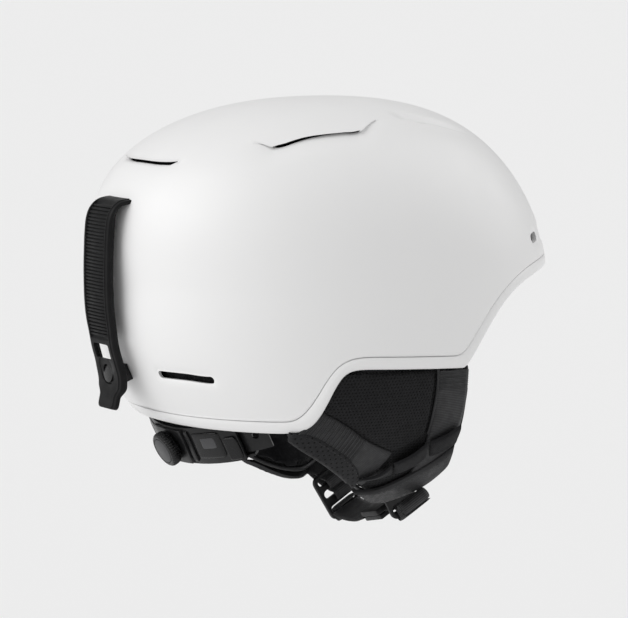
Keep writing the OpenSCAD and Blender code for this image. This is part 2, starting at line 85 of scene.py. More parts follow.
def edge_z(x):
    """Height of the bottom edge in side view."""
    x = np.asarray(x, float)
    arch = EAR_Z + (TEMPLE_Z - EAR_Z) * (x - EAR_X) / (TEMPLE_X - EAR_X)
    step = NAPE_Z + (arch - NAPE_Z) / (1 + np.exp(-(x - STEP_X) / STEP_RUN))
    rise = 1 - np.exp(-np.clip((x - TEMPLE_X) / 28, 0, None) ** 1.3)
    return np.where(x < TEMPLE_X, step, TEMPLE_Z + (BROW_Z - TEMPLE_Z) * rise)


def seam_z(x):
    """The bottom edge moved up square to itself, where the shell meets the band."""
    x = np.asarray(x, float)

    def moved(at):
        steps = np.linspace(-1, 1, 33)
        return np.max([edge_z(at + u * BAND) + BAND * math.sqrt(1 - u * u) for u in steps], axis=0)

    return np.mean([moved(x + d) for d in np.linspace(-5, 5, 7)], axis=0)


def meet(curve, a):
    """Height at angle a where the skin meets an edge curve, by repeated substitution."""
    z = np.full_like(a, -20.0)
    for _ in range(40):
        z = 0.5 * z + 0.5 * curve(skin(a, z)[..., 0])
    return z


def through(points):
    """Smooth function of one variable through (x, y) points."""
    px, py = (np.array(v, float) for v in zip(*points))
    slopes = np.diff(py) / np.diff(px)
    m = np.concatenate([[slopes[0]], (slopes[1:] + slopes[:-1]) / 2, [slopes[-1]]])

    def at(x):
        x = np.clip(x, px[0], px[-1])
        i = np.clip(np.searchsorted(px, x) - 1, 0, len(px) - 2)
        h = px[i + 1] - px[i]
        t = (x - px[i]) / h
        return (
            (2 * t**3 - 3 * t**2 + 1) * py[i]
            + (t**3 - 2 * t**2 + t) * h * m[i]
            + (3 * t**2 - 2 * t**3) * py[i + 1]
            + (t**3 - t**2) * h * m[i + 1]
        )

    return at


# ---------------------------------------------------------------------------
# Mesh helpers: points come in millimetres
# ---------------------------------------------------------------------------
def make_piece(name, points, faces, uv=None):
    """New mesh object, smooth shaded, with outward faces and an optional map measured in metres."""
    mesh = bpy.data.meshes.new(name)
    mesh.from_pydata((np.asarray(points, float).reshape(-1, 3) * MM).tolist(), [], faces)
    mesh.update()
    if uv is not None:
        layer = mesh.uv_layers.new(name="surface")
        index = np.zeros(len(mesh.loops), np.int32)
        mesh.loops.foreach_get("vertex_index", index)
        layer.data.foreach_set("uv", (np.asarray(uv, float).reshape(-1, 2)[index] * MM).ravel())
    bm = bmesh.new()
    bm.from_mesh(mesh)
    bmesh.ops.remove_doubles(bm, verts=bm.verts, dist=1e-6)
    bmesh.ops.dissolve_degenerate(bm, edges=bm.edges, dist=1e-7)
    bmesh.ops.recalc_face_normals(bm, faces=bm.faces)
    bm.to_mesh(mesh)
    bm.free()
    for polygon in mesh.polygons:
        polygon.use_smooth = True
    piece = bpy.data.objects.new(name, mesh)
    bpy.context.scene.collection.objects.link(piece)
    return piece


def lengths(grid):
    """Distances along both directions of a grid of points, as a map."""
    along = np.linalg.norm(np.diff(grid, axis=0), axis=-1).mean(1)
    across = np.linalg.norm(np.diff(grid, axis=1), axis=-1).mean(0)
    u = np.concatenate([[0], np.cumsum(along)])
    v = np.concatenate([[0], np.cumsum(across)])
    return np.stack(np.meshgrid(u, v, indexing="ij"), -1)


def slab(name, outer, inner, closed=False, holes=None, pole=False):
    """Solid between two grids, with walls round its edges and round its holes (a mask of cells)."""
    nu, nv = outer.shape[:2]
    cols = nu if closed else nu - 1
    kept = np.ones((cols, nv - 1), bool) if holes is None else ~holes[:cols]

    def has(i, j):
        if j >= nv - 1 and pole:
            return True
        if closed:
            i %= nu
        return 0 <= i < cols and 0 <= j < nv - 1 and kept[i, j]

    def o(i, j):
        return (i % nu) * nv + j

    def q(i, j):
        return nu * nv + (i % nu) * nv + j

    faces = []
    for i in range(cols):
        for j in range(nv - 1):
            if not kept[i, j]:
                continue
            faces.append((o(i, j), o(i + 1, j), o(i + 1, j + 1), o(i, j + 1)))
            faces.append((q(i, j + 1), q(i + 1, j + 1), q(i + 1, j), q(i, j)))
            if not has(i, j - 1):
                faces.append((o(i, j), q(i, j), q(i + 1, j), o(i + 1, j)))
            if not has(i, j + 1):
                faces.append((o(i, j + 1), o(i + 1, j + 1), q(i + 1, j + 1), q(i, j + 1)))
            if not has(i - 1, j):
                faces.append((o(i, j), o(i, j + 1), q(i, j + 1), q(i, j)))
            if not has(i + 1, j):
                faces.append((o(i + 1, j), q(i + 1, j), q(i + 1, j + 1), o(i + 1, j + 1)))
    uv = np.concatenate([lengths(outer).reshape(-1, 2)] * 2)
    return make_piece(name, np.concatenate([outer.reshape(-1, 3), inner.reshape(-1, 3)]), faces, uv)


def tube(name, rings, closed=False):
    """Closed skin over a run of rings of points, with flat ends unless the run closes on itself."""
    rings = np.asarray(rings, float)
    n, m = rings.shape[:2]
    faces = []
    for i in range(n if closed else n - 1):
        for j in range(m):
            a, b = i * m, ((i + 1) % n) * m
            faces.append((a + j, b + j, b + (j + 1) % m, a + (j + 1) % m))
    if not closed:
        faces += [tuple(range(m)), tuple((n - 1) * m + j for j in reversed(range(m)))]
    return make_piece(name, rings, faces, lengths(rings))


def resample(points, count):
    """Even spacing along a smooth curve through points."""
    p = np.asarray(points, float)
    s = np.concatenate([[0], np.cumsum(np.linalg.norm(np.diff(p, axis=0), axis=-1))])
    fine = np.linspace(0, s[-1], 40 * len(p))
    smooth_p = np.stack([through(list(zip(s, p[:, k])))(fine) for k in range(p.shape[1])], -1)
    l = np.concatenate([[0], np.cumsum(np.linalg.norm(np.diff(smooth_p, axis=0), axis=-1))])
    want = np.linspace(0, l[-1], count)
    return np.stack([np.interp(want, l, smooth_p[:, k]) for k in range(p.shape[1])], -1)


def unit(v):
    return v / np.linalg.norm(v, axis=-1, keepdims=True)


def cord_tube(name, path, radius, sides):
    """Round tube along a path of points."""
    p = np.asarray(path, float)
    t = unit(np.gradient(p, axis=0))
    ref = np.cross(t, [0.13, 0.31, 0.94])
    side = unit(ref)
    up = np.cross(side, t)
    turn = np.linspace(0, 2 * math.pi, sides, endpoint=False)
    r = np.broadcast_to(radius, len(p))[:, None, None]
    spokes = np.cos(turn)[None, :, None] * side[:, None] + np.sin(turn)[None, :, None] * up[:, None]
    rings = p[:, None] + r * spokes
    return tube(name, rings)


def webbing(name, path, side, width, thick):
    """Flat strap along a path, its width along side."""
    p = np.asarray(path, float)
    total = np.linalg.norm(np.diff(p, axis=0), axis=-1).sum()
    count = max(12, int(total / 1.5))
    both = resample(np.concatenate([p, np.broadcast_to(side, p.shape) * 10.0], axis=1), count)
    p, side = both[:, :3], unit(both[:, 3:])
    t = unit(np.gradient(p, axis=0))
    side = unit(side - t * np.sum(side * t, -1, keepdims=True))
    up = np.cross(side, t)
    across = np.concatenate([np.linspace(-1, 1, 9), np.linspace(1, -1, 9)])
    top = np.concatenate([np.ones(9), -np.ones(9)])
    soft = 1 - 0.75 * np.abs(across) ** 8
    rings = (
        p[:, None]
        + side[:, None] * (across * width / 2)[None, :, None]
        + up[:, None] * (top * soft * (thick / 2))[None, :, None]
    )
    return tube(name, rings)


def apply_modifiers(piece):
    """Bakes a piece's modifiers into its mesh."""
    deps = bpy.context.evaluated_depsgraph_get()
    done = bpy.data.meshes.new_from_object(piece.evaluated_get(deps))
    piece.modifiers.clear()
    old = piece.data
    piece.data = done
    bpy.data.meshes.remove(old)


def bevel(piece, width, segments=2, angle=38):
    """Rounds a piece's sharp edges."""
    mod = piece.modifiers.new("round", "BEVEL")
    mod.width, mod.segments, mod.limit_method = width * MM, segments, "ANGLE"
    mod.angle_limit = math.radians(angle)
    mod.harden_normals = False
    apply_modifiers(piece)
    for polygon in piece.data.polygons:
        polygon.use_smooth = True


def keep_creases(piece, angle=40):
    """Smooth shading that still breaks at edges sharper than angle."""
    piece.data.set_sharp_from_angle(angle=math.radians(angle))
    return piece


def cut(piece, cutter):
    """Takes the cutter's volume out of a piece."""
    mod = piece.modifiers.new("cut", "BOOLEAN")
    mod.operation, mod.object, mod.solver = "DIFFERENCE", cutter, "EXACT"
    apply_modifiers(piece)
    bpy.data.objects.remove(cutter)


def puff(piece, voxel=5.0, pressure=4.0, cap=5.0, frames=20, tension=15.0):
    """Swells a closed form as stuffed fabric by a cloth simulation, no point moving more than cap."""
    mod = piece.modifiers.new("voxel", "REMESH")
    mod.mode, mod.voxel_size, mod.use_smooth_shade = "VOXEL", voxel * MM, True
    apply_modifiers(piece)
    count = len(piece.data.vertices)
    start = np.zeros(count * 3)
    piece.data.vertices.foreach_get("co", start)
    cloth = piece.modifiers.new("cloth", "CLOTH")
    cloth.settings.use_pressure = True
    cloth.settings.uniform_pressure_force = pressure
    cloth.settings.tension_stiffness = tension
    cloth.settings.compression_stiffness = tension
    cloth.settings.effector_weights.gravity = 0
    cloth.collision_settings.use_collision = False
    cloth.collision_settings.use_self_collision = False
    scene = bpy.context.scene
    for number in range(1, frames + 1):
        scene.frame_set(number)
    deps = bpy.context.evaluated_depsgraph_get()
    moved = np.zeros(count * 3)
    piece.evaluated_get(deps).data.vertices.foreach_get("co", moved)
    piece.modifiers.remove(cloth)
    scene.frame_set(1)
    shift = (moved - start).reshape(-1, 3)
    size = np.linalg.norm(shift, axis=1, keepdims=True)
    shift *= np.minimum(1, cap * MM / np.maximum(size, 1e-9))
    piece.data.vertices.foreach_set("co", (start.reshape(-1, 3) + shift).ravel())
    piece.data.update()
    mod = piece.modifiers.new("fine", "SUBSURF")
    mod.levels = mod.render_levels = 1
    apply_modifiers(piece)
    for polygon in piece.data.polygons:
        polygon.use_smooth = True
    return piece


def joined(name, pieces):
    """One piece out of several."""
    bm = bmesh.new()
    for piece in pieces:
        bm.from_mesh(piece.data)
    mesh = bpy.data.meshes.new(name)
    bm.to_mesh(mesh)
    bm.free()
    for piece in pieces:
        bpy.data.objects.remove(piece)
    whole = bpy.data.objects.new(name, mesh)
    bpy.context.scene.collection.objects.link(whole)
    return whole


def mirrored(piece, name):
    """Copy on the other side of the helmet."""
    mesh = piece.data.copy()
    mesh.transform(Matrix.Scale(-1, 4, (0, 1, 0)))
    mesh.flip_normals()
    copy = bpy.data.objects.new(name, mesh)
    bpy.context.scene.collection.objects.link(copy)
    return copy


def place(piece, body, look, replaces=()):
    """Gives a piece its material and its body."""
    piece.data.materials.clear()
    piece.data.materials.append(look)
    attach(piece, body)
    if replaces:
        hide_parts(*replaces)
    return piece


# ---------------------------------------------------------------------------
# Materials
# ---------------------------------------------------------------------------
class Look:
    """A node material: constants on the shader, detail in its colour, roughness and bump."""

    def __init__(self, name, colour, roughness, **constants):
        self.material = bpy.data.materials.new(name)
        self.material.use_nodes = True
        self.tree = self.material.node_tree
        self.shader = self.tree.nodes["Principled BSDF"]
        self.colour, self.roughness, self.last_bump = colour, roughness, None
        self.set("Base Color", (*colour, 1))
        self.set("Roughness", roughness)
        for key, value in constants.items():
            self.set(key.replace("_", " "), value)
        self.coords = self.add("ShaderNodeTexCoord")
        self.material.diffuse_color = (*colour, 1)

    def set(self, socket, value):
        self.shader.inputs[socket].default_value = value

    def add(self, kind, **inputs):
        node = self.tree.nodes.new(kind)
        for key, value in inputs.items():
            self.plug(value, node.inputs[key.replace("_", " ")])
        return node

    def plug(self, value, socket):
        if isinstance(value, bpy.types.NodeSocket):
            self.tree.links.new(value, socket)
        else:
            socket.default_value = value

    def math(self, operation, a, b=0.0, clamp=False):
        node = self.tree.nodes.new("ShaderNodeMath")
        node.operation, node.use_clamp = operation, clamp
        self.plug(a, node.inputs[0])
        self.plug(b, node.inputs[1])
        return node.outputs[0]

    def where(self, source="Object", stretch=(1, 1, 1), turn=(0, 0, 0)):
        """Coordinates in metres: of the object, or of the piece's own map."""
        if source == "surface":
            base = self.add("ShaderNodeUVMap")
            base.uv_map = "surface"
            base = base.outputs[0]
        else:
            base = self.coords.outputs[source]
        mapping = self.add("ShaderNodeMapping", Vector=base)
        mapping.inputs["Scale"].default_value = stretch
        mapping.inputs["Rotation"].default_value = turn
        return mapping.outputs[0]

    def noise(self, scale, detail=3.0, rough=0.55, at=None):
        node = self.add("ShaderNodeTexNoise", Scale=scale, Detail=detail, Roughness=rough)
        self.plug(at or self.where(), node.inputs["Vector"])
        return node.outputs["Fac"]

    def cells(self, scale, feature="F1", at=None):
        node = self.add("ShaderNodeTexVoronoi", Scale=scale)
        node.feature = feature
        self.plug(at or self.where(), node.inputs["Vector"])
        return node.outputs["Distance"]

    def wave(self, scale, direction, at=None, distortion=0.0):
        """Bands across one axis; scale is bands per metre."""
        node = self.add("ShaderNodeTexWave", Distortion=distortion)
        node.bands_direction, node.wave_profile = direction, "SIN"
        node.inputs["Scale"].default_value = scale * 2 * math.pi / 20
        self.plug(at or self.where(), node.inputs["Vector"])
        return node.outputs["Fac"]

    def span(self, value, low, high, to_low=0.0, to_high=1.0):
        node = self.add("ShaderNodeMapRange")
        node.interpolation_type = "SMOOTHSTEP"
        sockets = ("Value", "From Min", "From Max", "To Min", "To Max")
        for socket, v in zip(sockets, (value, low, high, to_low, to_high)):
            self.plug(v, node.inputs[socket])
        return node.outputs[0]

    def tint(self, fac, other):
        """Mixes the colour so far with another by fac."""
        node = self.add("ShaderNodeMix")
        node.data_type = "RGBA"
        self.plug(fac, node.inputs["Factor"])
        base = self.shader.inputs["Base Color"]
        self.plug(base.links[0].from_socket if base.links else base.default_value[:], node.inputs["A"])
        self.plug((*other, 1), node.inputs["B"])
        self.plug(node.outputs["Result"], base)

    def gloss(self, fac, low, high):
        """Roughness that runs from low to high with fac."""
        self.plug(self.span(fac, 0.2, 0.8, low, high), self.shader.inputs["Roughness"])

    def bump(self, height, depth, strength=1.0):
        """Relief of this depth in metres."""
        node = self.add("ShaderNodeBump", Height=height, Distance=depth, Strength=strength)
        if self.last_bump:
            self.plug(self.last_bump, node.inputs["Normal"])
        self.last_bump = node.outputs[0]
        self.plug(self.last_bump, self.shader.inputs["Normal"])


def satin_white(name):
    look = Look(name, (0.815, 0.813, 0.812), 0.42, Specular_IOR_Level=0.42,
                Coat_Weight=0.12, Coat_Roughness=0.3)
    look.tint(look.span(look.noise(9, 4), 0.35, 0.75, 0, 0.35), (0.795, 0.793, 0.79))
    look.tint(look.span(look.noise(420, 5, 0.7), 0.66, 0.8, 0, 0.10), (0.62, 0.62, 0.61))
    look.gloss(look.noise(60, 5, 0.65), 0.36, 0.5)
    look.bump(look.noise(2600, 2), 0.00002, 0.5)
    look.bump(look.noise(35, 2), 0.00012, 0.35)
    return look.material


def bead_foam(name):
    look = Look(name, (0.01, 0.01, 0.011), 0.62, Specular_IOR_Level=0.2)
    look.tint(look.span(look.cells(330), 0.15, 0.6), (0.02, 0.02, 0.0215))
    look.gloss(look.noise(300, 3), 0.5, 0.75)
    look.bump(look.span(look.cells(330, "DISTANCE_TO_EDGE"), 0.0, 0.16), 0.0004, 0.8)
    return look.material


def slip_sheet(name):
    look = Look(name, (0.55, 0.56, 0.58), 0.36, Specular_IOR_Level=0.5)
    look.tint(look.span(look.noise(14, 4), 0.35, 0.7, 0, 0.6), (0.5, 0.51, 0.535))
    look.gloss(look.noise(90, 4), 0.3, 0.46)
    look.bump(look.noise(900, 3), 0.00003, 0.5)
    return look.material


def moulded_rubber(name, colour=(0.005, 0.005, 0.0054)):
    look = Look(name, colour, 0.5, Specular_IOR_Level=0.16)
    look.tint(look.span(look.noise(60, 5), 0.4, 0.72), (0.008, 0.008, 0.0084))
    look.tint(look.span(look.noise(700, 4, 0.7), 0.62, 0.78, 0, 0.3), (0.03, 0.03, 0.03))
    look.gloss(look.noise(160, 4), 0.4, 0.6)
    look.bump(look.noise(1900, 3), 0.00006, 0.6)
    return look.material


def moulded_plastic(name, colour=(0.007, 0.007, 0.0075), low=0.26, high=0.44, grain=0.00004):
    look = Look(name, colour, 0.4, Specular_IOR_Level=0.3)
    look.tint(look.span(look.noise(45, 5), 0.4, 0.7, 0, 0.7), tuple(c * 1.5 + 0.001 for c in colour))
    look.gloss(look.noise(190, 4), low, high)
    look.bump(look.noise(2400, 2), grain, 0.6)
    return look.material


def steel(name):
    look = Look(name, (0.58, 0.58, 0.6), 0.28, Metallic=1.0)
    look.tint(look.span(look.noise(300, 4), 0.4, 0.7, 0, 0.5), (0.4, 0.4, 0.42))
    look.gloss(look.noise(500, 4, at=look.where(stretch=(1, 12, 1))), 0.2, 0.42)
    look.bump(look.noise(1500, 3, at=look.where(stretch=(1, 9, 1))), 0.00002, 0.5)
    return look.material


def dotted(look, pitch, radius, at):
    """Staggered round holes: 1 inside a hole, 0 outside."""
    split = look.add("ShaderNodeSeparateXYZ", Vector=at)
    rows = []
    for shift in (0.0, 0.5):
        u = look.math("ADD", look.math("DIVIDE", split.outputs[0], pitch), shift)
        v = look.math("ADD", look.math("DIVIDE", split.outputs[1], pitch * 1.73), shift)
        du = look.math("MULTIPLY", look.math("SUBTRACT", look.math("FRACT", u), 0.5), pitch)
        dv = look.math("MULTIPLY", look.math("SUBTRACT", look.math("FRACT", v), 0.5), pitch * 1.73)
        squares = look.math("ADD", look.math("POWER", du, 2.0), look.math("POWER", dv, 2.0))
        rows.append(look.math("SQRT", squares))
    near = look.math("MINIMUM", rows[0], rows[1])
    return look.span(near, radius * 0.7, radius * 1.15, 1.0, 0.0)


def mesh_fabric(name, pitch=0.0021, radius=0.00056, colour=(0.0095, 0.0095, 0.0102)):
    """Air mesh with staggered holes over foam, laid out in side view; the holes are painted near black as painted
    shade.
    """
    look = Look(name, colour, 0.78, Sheen_Weight=0.03, Sheen_Roughness=0.45, Specular_IOR_Level=0.16)
    flat = look.where(turn=(math.radians(90), 0, 0))
    holes = dotted(look, pitch, radius, flat)
    look.tint(look.span(look.noise(30, 4), 0.35, 0.7, 0, 0.7), tuple(c * 1.4 for c in colour))
    look.tint(look.span(look.noise(1300, 3), 0.5, 0.75, 0, 0.6), tuple(c * 2.4 for c in colour))
    # Holes painted near black, darker than the fabric or the foam: painted shade inside the holes.
    look.tint(holes, (0.002, 0.002, 0.002))
    look.gloss(look.noise(250, 3), 0.68, 0.88)
    look.bump(look.noise(1500, 2), 0.00015, 0.5)
    look.bump(look.math("SUBTRACT", 1.0, holes), 0.0006, 0.9)
    return look.material


def knit_fabric(name, colour=(0.01, 0.01, 0.011), thread=1100):
    look = Look(name, colour, 0.85, Sheen_Weight=0.04, Sheen_Roughness=0.4, Specular_IOR_Level=0.15)
    look.tint(look.span(look.noise(35, 4), 0.35, 0.7, 0, 0.8), tuple(c * 1.7 for c in colour))
    weave = look.math("ADD", look.wave(thread, "DIAGONAL"), look.wave(thread * 0.8, "Z"))
    look.tint(look.span(weave, 0.6, 1.8, 0, 0.5), tuple(c * 2.2 for c in colour))
    look.gloss(look.noise(200, 3), 0.75, 0.95)
    look.bump(weave, 0.00012, 0.7)
    look.bump(look.noise(120, 3), 0.0004, 0.35)
    return look.material


def plush(name):
    """Short brushed pile."""
    look = Look(name, (0.008, 0.008, 0.009), 0.95, Sheen_Weight=0.08, Sheen_Roughness=0.35,
                Specular_IOR_Level=0.08)
    look.tint(look.span(look.noise(70, 5, 0.7), 0.38, 0.68), (0.016, 0.016, 0.017))
    look.tint(look.span(look.noise(900, 4, 0.75), 0.5, 0.72, 0, 0.8), (0.026, 0.026, 0.0275))
    look.gloss(look.noise(300, 4), 0.85, 1.0)
    look.bump(look.noise(1000, 5, 0.75), 0.0009, 0.7)
    look.bump(look.noise(90, 3), 0.0012, 0.4)
    return look.material


def strap_fabric(name, pitch=0.0011):
    """Woven polyester with a rib across the strap and fine threads along it; the rib tops are painted lighter as a
    painted highlight.
    """
    look = Look(name, (0.012, 0.012, 0.0128), 0.5, Sheen_Weight=0.05, Sheen_Roughness=0.4,
                Specular_IOR_Level=0.38)
    at = look.where("surface")
    ribs = look.wave(1 / pitch, "X", at)
    threads = look.wave(1 / 0.0007, "Y", at, 0.6)
    # Rib tops painted lighter: a painted highlight along each rib.
    look.tint(look.span(ribs, 0.3, 0.9, 0, 0.7), (0.045, 0.045, 0.0475))
    look.tint(look.span(look.noise(80, 4), 0.45, 0.75, 0, 0.6), (0.005, 0.005, 0.0055))
    look.gloss(look.noise(240, 3), 0.5, 0.75)
    look.bump(look.math("ADD", ribs, look.math("MULTIPLY", threads, 0.5)), 0.00016, 0.7)
    return look.material


def grained_leather(name, colour=(0.013, 0.013, 0.014)):
    look = Look(name, colour, 0.5, Specular_IOR_Level=0.3)
    look.tint(look.span(look.noise(60, 4), 0.4, 0.7, 0, 0.8), tuple(c * 1.5 for c in colour))
    look.gloss(look.noise(260, 4), 0.4, 0.62)
    look.bump(look.span(look.cells(1200, "DISTANCE_TO_EDGE"), 0.0, 0.14), 0.00014, 0.6)
    look.bump(look.noise(700, 4), 0.0001, 0.4)
    return look.material


WHITE = satin_white("shell_white")
FOAM = bead_foam("foam_black")
SLIP = slip_sheet("slip_grey")
RUBBER = moulded_rubber("clip_rubber")
PLASTIC = moulded_plastic("black_plastic")
GLOSS = moulded_plastic("gloss_plastic", (0.006, 0.006, 0.0065), 0.16, 0.34, 0.00002)
BUCKLE = moulded_plastic("matt_plastic", (0.004, 0.004, 0.0044), 0.42, 0.6, 0.00004)
FACE = moulded_plastic("dial_face", (0.05, 0.05, 0.053), 0.3, 0.45)
STEEL = steel("bright_steel")
MESH = mesh_fabric("ear_mesh")
KNIT = knit_fabric("pad_knit")
STRETCH = knit_fabric("smooth_stretch", (0.009, 0.009, 0.0097), 1500)
PILE = plush("ear_plush")
WEB = strap_fabric("webbing")
LEATHER = grained_leather("trim_leather", (0.017, 0.017, 0.018))
PERFORATED = mesh_fabric("perforated_trim", 0.0032, 0.0006, (0.017, 0.017, 0.018))

# ---------------------------------------------------------------------------
# Hard shell with vents
# ---------------------------------------------------------------------------
G_CROWN = (CROWN - BELT) * math.pi / 2


def arc_of(z):
    """Distance up the side of the shell at height z, measured from the belt."""
    z = np.asarray(z, float)
    upper = (CROWN - BELT) * np.arcsin(np.clip((z - BELT) / (CROWN - BELT), 0, 1))
    return np.where(z < BELT, z - BELT, upper)


def height_of(g):
    upper = BELT + (CROWN - BELT) * np.sin(np.clip(g / (CROWN - BELT), 0, math.pi / 2))
    return np.where(g < 0, BELT + g, upper)


# Angles from the front at which each vent starts and ends; the rear top one runs on to the back
REAR_SLOT, BROW_SLOT, SIDE_SLOT = (145.8, 165.2), (13.2, 33.2), (39.2, 45.6)
SCOOP, CREST, REAR_TOP = (96.6, 128.4), (64.5, 68.9), 161.8
VENT_ENDS = (*BROW_SLOT, *SIDE_SLOT, *CREST, *SCOOP, *REAR_SLOT, REAR_TOP)
# Low slots: angles, height, least height and the angle over which an end is round
LOW_SLOTS = ((REAR_SLOT, 4.2, 0.5, 1.0), (BROW_SLOT, 5.6, 0.6, 1.5), (SIDE_SLOT, 5.4, 0.6, 1.3))


def within(a, span):
    return (a >= span[0] - 0.01) & (a <= span[1] + 0.01)


def columns():
    """Angles round the shell, closer together at the ends of the vents."""
    half = set(np.round(np.arange(0, 180.01, 0.9), 3))
    for end in VENT_ENDS:
        half |= set(np.round(end + np.array([-0.9, -0.6, -0.35, -0.15, 0.0, 0.15, 0.35, 0.6, 0.9]), 3))
    half = np.array(sorted(half))
    merged = [half[0]]
    for a in half[1:]:
        if a - merged[-1] > 0.12:
            merged.append(a)
    merged[-1] = 180.0
    half = np.array(merged)
    return np.concatenate([half, 360 - half[-2:0:-1]])


# Two runs of vents round the shell, as heights at angles from the front
HIGH_RUN = through([(0, 86), (25, 89), (41, 95.6), (48, 98.6), (57.8, 102.5), (66.2, 105),
                   (74.8, 107.1), (82, 107.8), (86, 107.4), (89, 106.6), (92.2, 104.9), (96.5, 101.8),
                   (103, 101.2), (111, 100.2), (117.8, 98.6), (122, 96.8), (125, 95.2), (128.5, 94.3),
                   (133.5, 96), (139, 96.6), (146, 94), (153, 89), (162, 84.8), (168, 84), (180, 84)])
LOW_RUN = through([(0, 35), (14, 35), (45.5, 35.1), (54, 30), (65, 20), (80, 12), (95, 5), (110, -4),
                  (120, -13), (130, -24), (138, -32), (146, -35.7), (155, -35), (165, -34.9),
                  (180, -35)])


def fade(a, start, full, end_full, end):
    """Rises from 0 to 1 between start and full, and falls again between end_full and end."""
    return smooth((a - start) / (full - start)) * smooth((end - a) / (end - end_full))


def rounded(a, low, high, height, end):
    """Height of a slot from angle low to high whose ends are round over an angle of end."""
    u = np.clip(np.minimum(a - low, high - a) / end, 0, 1)
    return height * np.sqrt(np.clip(1 - (1 - u) ** 2, 0, 1))


def make_shell():
    a_full = columns()
    a = np.where(a_full > 180, 360 - a_full, a_full)
    seam = meet(seam_z, a) + SEAM_GAP
    g_seam, g_low, g_high = arc_of(seam), arc_of(LOW_RUN(a)), arc_of(HIGH_RUN(a))
    low_slot = within(a, REAR_SLOT) | within(a, BROW_SLOT) | within(a, SIDE_SLOT)
    scoop, crest, rear_top = within(a, SCOOP), within(a, CREST), a >= REAR_TOP - 0.01
    near = np.min([np.abs(a - e) for e in (*REAR_SLOT, *BROW_SLOT, *SIDE_SLOT)], axis=0)
    low_gap = 0.5 + 1.5 * smooth(near / 5)
    for span, height, least, end in LOW_SLOTS:
        slot_gap = np.maximum(least, rounded(a, *span, height, end))
        low_gap = np.where(within(a, span), slot_gap, low_gap)
    crease = np.maximum(fade(a, 82, 92, 133, 144), fade(a, 36, 44, 70, 80))
    high_gap = 2.2 - 1.7 * crease
    scoop_gap = 1.3 + 1.7 * fade(a, 104, 122, 126.5, 128.6) + 1.0 * fade(a, 96.5, 96.8, 98, 100)
    high_gap = np.where(scoop, scoop_gap, high_gap)
    high_gap = np.where(crest, 2.6, high_gap)
    taper = np.clip((a - REAR_TOP) / 2.6, 0.12, 1)
    high_gap = np.where(~rear_top & (a > 144), 0.5 + 1.4 * smooth((REAR_TOP - a) / 6), high_gap)
    high_top = np.where(rear_top, 1.3, high_gap / 2)
    high_low = np.where(rear_top, 2.6 * taper - 1.3, high_gap / 2)
    n1, n2, n3 = 16, 54, 22
    lower = np.linspace(0, 1, n1)[None] * (g_low - low_gap / 2 - g_seam)[:, None] + g_seam[:, None]
    ease = np.linspace(0, 1, n2)
    ease = ease - 0.045 * np.sin(2 * math.pi * ease)
    span = g_high - high_low - g_low - low_gap / 2
    middle = ease[None] * span[:, None] + (g_low + low_gap / 2)[:, None]
    upper_t = np.linspace(0, 1, n3) ** 1.12
    upper = upper_t[None] * (G_CROWN - g_high - high_top)[:, None] + (g_high + high_top)[:, None]
    g = np.concatenate([lower, middle, upper], axis=1)
    z = height_of(g)
    cols = a[:, None]
    below = np.arange(g.shape[1])[None] < n1 + n2
    from_high = np.abs(g - g_high[:, None])
    long_scoop = fade(cols, 84, 97, 126, 141)
    short_scoop = fade(cols, 38, 52, 66, 78)
    rear_scoop = smooth((cols - 158) / 5)
    relief = np.where(below, 1.5 * long_scoop * (1 - smooth(from_high / 17)), 0)
    relief = relief - np.where(below, 0, 0.45 * long_scoop * (1 - smooth(from_high / 9)))
    relief = relief + np.where(below, 0, 2.3 * short_scoop * (1 - smooth(from_high / 15)))
    relief = relief - np.where(below, 0.35 * short_scoop * (1 - smooth(from_high / 7)), 0)
    relief = relief + np.where(below, 0.5 * rear_scoop * (1 - smooth(from_high / 7)), 0)
    for (lo, hi), height, _, _ in LOW_SLOTS:
        half = height / 2
        run = np.linalg.norm(skin(lo, LOW_RUN(lo)) - skin(hi, LOW_RUN(hi)))
        turn_rate = run / (hi - lo)
        s = np.clip(np.abs(cols - (lo + hi) / 2) * turn_rate - (run / 2 - half), 0, None)
        away = np.clip(np.hypot(s, g - g_low[:, None]) - half, 0, None)
        relief = relief + 0.55 * np.exp(-((away / 1.5) ** 2)) + 0.3 * (1 - smooth(away / 5))
    holes = np.zeros((len(a), g.shape[1] - 1), bool)

    def inside(mask):
        return mask & np.append(mask[1:], mask[0])

    for span, *_ in LOW_SLOTS:
        holes[:, n1 - 1] |= inside(within(a, span))
    holes[:, n1 + n2 - 1] = inside(scoop) | inside(crest) | inside(rear_top)
    full = a_full[:, None]
    outer = skin(full, z, relief)
    inner = skin(full, z, relief + WALL)
    # The bottom edge laps over the band's tongue
    inner[:, 0] = skin(a_full, seam, 0.75)
    inner[:, 1] = skin(a_full, z[:, 1], 0.8)
    piece = slab("hard_shell", outer, inner, closed=True, holes=holes, pole=True)
    bevel(piece, 0.35, 2, 50)
    return piece


place(make_shell(), "helmet", WHITE, ["outer_shell"])


def make_band():
    """Trim band: flush outside, rolled bottom edge, lip under the foam, tongue behind the shell."""
    a = columns()
    e, s = meet(edge_z, a), meet(seam_z, a) - SEAM_GAP
    section = [
        (s, 0.35), (s - 0.35, 0.0), (e + 4.2, 0.0), (e + 2.6, 0.08), (e + 1.3, 0.45), (e + 0.4, 1.2),
        (e + 0.02, 2.3), (e + 0.1, 3.5), (e + 0.3, LIP - 0.5), (e + 0.8, LIP), (e + 1.6, LIP - 0.1),
        (e + 2.0, LIP - 1.0), (e + 2.2, 4.4), (e + 2.9, 3.2), (e + 4.2, 2.5), (s + 1.9, 2.35),
        (s + 1.9, 1.1), (s, 0.95)]
    rings = np.stack([skin(a, z, d) for z, d in section], axis=1)
    return tube("trim_band", rings, closed=True)


place(make_band(), "helmet", WHITE, ["rim_band"])


